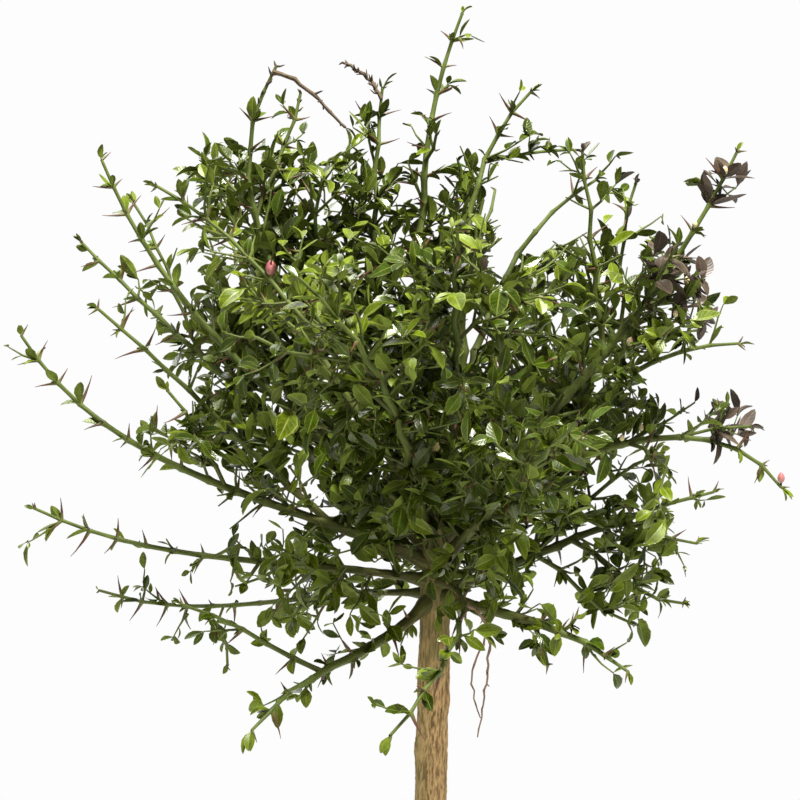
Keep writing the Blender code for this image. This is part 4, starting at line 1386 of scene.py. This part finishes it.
UNDERS = {
    "dark": UNDER,
    "mid": UNDER,
    "fresh": UNDER,
    "purple": leaf_paint(
        "purple_under", (0.038, 0.028, 0.019), (0.070, 0.048, 0.034), 0.55, 0.14, PURPLE_GLOSS
    ),
}
TONES = {
    "dark": leaf_paint("leaf_dark", (0.014, 0.025, 0.0005), (0.084, 0.092, 0.014), 0.22, 0.22),
    "mid": leaf_paint("leaf_mid", (0.043, 0.062, 0.001), (0.145, 0.150, 0.032), 0.27, 0.14),
    "fresh": leaf_paint("leaf_fresh", (0.054, 0.075, 0.004), (0.110, 0.120, 0.024), 0.36, 0.14),
    "purple": leaf_paint(
        "leaf_purple", (0.030, 0.022, 0.014), (0.066, 0.045, 0.030), 0.32, 0.20, PURPLE_GLOSS
    ),
}

# Shoots that are dead and bare from a share of them on, and those that are dead wood altogether.
BARE_FROM = {("top_left", 0): 0.86, ("top_left", 1): 0.80}
NEVER = 2.0
DEAD = {("front_drop", 1), ("top_left", 2), ("top_back", 1)}

# Flower buds: the place of each as the eye sees it, its length and its colour.
FLOWER_BUDS = (
    ((-0.1200, 0.6845), 0.0105, "rosy"),
    ((0.0398, 0.5998), 0.0070, "rosy"),
    ((0.1178, 0.6433), 0.0065, "rosy"),
    ((-0.0098, 0.5015), 0.0058, "rosy"),
    ((0.2490, 0.5338), 0.0075, "rosy"),
    ((-0.1388, 0.6215), 0.0055, "rosy"),
    ((-0.1583, 0.6793), 0.0070, "creamy"),
    ((0.1545, 0.6320), 0.0070, "creamy"),
    ((0.1823, 0.6628), 0.0058, "creamy"),
    ((0.2003, 0.6703), 0.0062, "creamy"),
    ((0.2115, 0.7663), 0.0070, "creamy"),
    ((0.1898, 0.7265), 0.0052, "creamy"),
    ((0.1425, 0.5675), 0.0055, "creamy"),
    ((0.1538, 0.5675), 0.0055, "creamy"),
)

limbs, masses = plan_shoots()
growth = Growth(limbs, masses)
for name, shoots in masses.items():
    for number, shoot in enumerate(shoots):
        if (name, number) in DEAD:
            continue
        growth.grow(name, number, shoot, BARE_FROM.get((name, number), NEVER))
        growth.stem(shoot)
for place, length, kind in FLOWER_BUDS:
    growth.bud(place, length, kind)

# The dead twigs: an arch at the top left, a hook at the top, and two strands that hang beside the trunk.
# Leaves grow on at the end of the arch, and the second strand swings out from a point of the first.
STRAND_FORK = 5
SWING_POINTS = 14
SWING = 0.011
SWING_NEARER = 0.004
arch, hook, strand = masses["top_left"][2], masses["top_back"][1], masses["front_drop"][1]
growth.dry(growth.dry_twigs, arch.path.samples(0, arch.span, 0.006), 0.0018, 0.0010, nubs=0.5, spurs=0.25)
growth.dry(growth.dry_twigs, hook.path.samples(0, hook.span, 0.004), 0.0016, 0.0010, nubs=0.9, spurs=0.8)
growth.cluster(*arch.path.at(arch.span), 0.0, 3, 1.1, "mid", TIP_SPLIT)
line = strand.path.samples(0, strand.span, 0.005)
growth.dry(growth.strands, line, 0.0013, 0.0005, nubs=0.3, spurs=0.0)
swung = [line[STRAND_FORK]]
for i in range(SWING_POINTS):
    aside = -SWING * math.sin(math.pi * i / (SWING_POINTS - 1))
    swung.append(line[STRAND_FORK + 1 + i] + Vector((aside, -SWING_NEARER, 0)))
growth.dry(growth.strands, swung, 0.0009, 0.0005, nubs=0.3, spurs=0.0)

pieces = [build_trunk(BARK), build_boughs(limbs, GREEN)]
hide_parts("trunk")
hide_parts(*[node for node in nodes if node.endswith("_bough")])
foliage = [node for node in nodes if node.endswith("_foliage")]


def crown_piece(pile, name, paints, smooth_angle):
    """Makes a piece of the crown. Together these pieces take the place of all the masses."""
    piece = pile.make(name, paints, smooth_angle)
    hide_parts(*foliage)
    pieces.append(piece)


for pile, name, paint in (
    (growth.shoots, "shoots", GREEN),
    (growth.twigs, "twigs", GREEN),
    (growth.thorns, "thorns", THORN),
    (growth.dry_twigs, "dry_twigs", DRY),
    (growth.strands, "dry_strands", STRAND),
    (growth.buds["rosy"], "buds_rosy", BUDS["rosy"]),
    (growth.buds["creamy"], "buds_creamy", BUDS["creamy"]),
):
    crown_piece(pile, name, [paint], STEM_ANGLE)

# The leaves of each tone, in pieces of a size that stays well under the limit of triangles.
MOST_LEAVES = 3900
for tone, leaves in growth.leaves.items():
    parts = math.ceil(len(leaves) / MOST_LEAVES)
    for part in range(parts):
        pile = Pile()
        leaf_meshes(pile, leaves[part::parts])
        crown_piece(pile, f"leaves_{tone}_{part + 1}", [TONES[tone], UNDERS[tone]], LEAF_ANGLE)
for piece in pieces:
    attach(piece, "root")

# ---------------------------------------------------------------- floor, light and camera

FLOOR_RADIUS = 1.4
FLOOR_SIDES = 96
FLOOR_WHITE = (0.80, 0.80, 0.79)
ROOM_LIGHT = 0.52
WHITE_BEHIND = 0.982
LENS = 120
SENSOR_WIDTH = 36

# Each light: its place, what it points at, its size and its power in watts.
LIGHTS = {
    "key": ((0.5, -0.9, 2.6), (0, 0, 0.6), 0.6, 285),
    "fill": ((-1.6, -1.5, 1.3), (0, 0, 0.6), 1.2, 16),
    "rim": ((-0.9, 1.0, 2.1), (0, 0, 0.65), 1.2, 40),
}


def placed(name, data, place):
    """An object in the scene at a place."""
    obj = bpy.data.objects.new(name, data)
    obj.location = place
    bpy.context.scene.collection.objects.link(obj)
    return obj


ring = []
for i in range(FLOOR_SIDES):
    angle = math.tau * i / FLOOR_SIDES
    ring.append((FLOOR_RADIUS * math.cos(angle), FLOOR_RADIUS * math.sin(angle), 0))
floor_mesh = bpy.data.meshes.new("floor")
floor_mesh.from_pydata(ring, [], [range(FLOOR_SIDES)])
floor_mesh.materials.append(Paint("floor", FLOOR_WHITE, 0.9).made)
placed("floor", floor_mesh, (0, 0, 0))

# The room is white. The camera sees it brighter than it lights the tree, so that the tree keeps its depth.
world = bpy.data.worlds.new("studio")
world.use_nodes = True
sky = world.node_tree.nodes["Background"]
sky.inputs["Color"].default_value = (1.0, 1.0, 1.0, 1)
ray = world.node_tree.nodes.new("ShaderNodeLightPath")
level = world.node_tree.nodes.new("ShaderNodeMapRange")
level.inputs["To Min"].default_value = ROOM_LIGHT
level.inputs["To Max"].default_value = WHITE_BEHIND
world.node_tree.links.new(ray.outputs["Is Camera Ray"], level.inputs["Value"])
world.node_tree.links.new(level.outputs["Result"], sky.inputs["Strength"])
bpy.context.scene.world = world
bpy.context.scene.view_settings.view_transform = "Standard"

for name, (place, target, size, power) in LIGHTS.items():
    light = bpy.data.lights.new(name, "AREA")
    light.size = size
    light.energy = power
    lamp = placed(name, light, place)
    lamp.rotation_euler = (Vector(target) - Vector(place)).to_track_quat("-Z", "Y").to_euler()

camera = bpy.data.cameras.new("camera")
camera.lens = LENS
camera.sensor_width = SENSOR_WIDTH
viewer = placed("camera", camera, EYE)
viewer.rotation_euler = (math.radians(90), 0, 0)
bpy.context.scene.camera = viewer
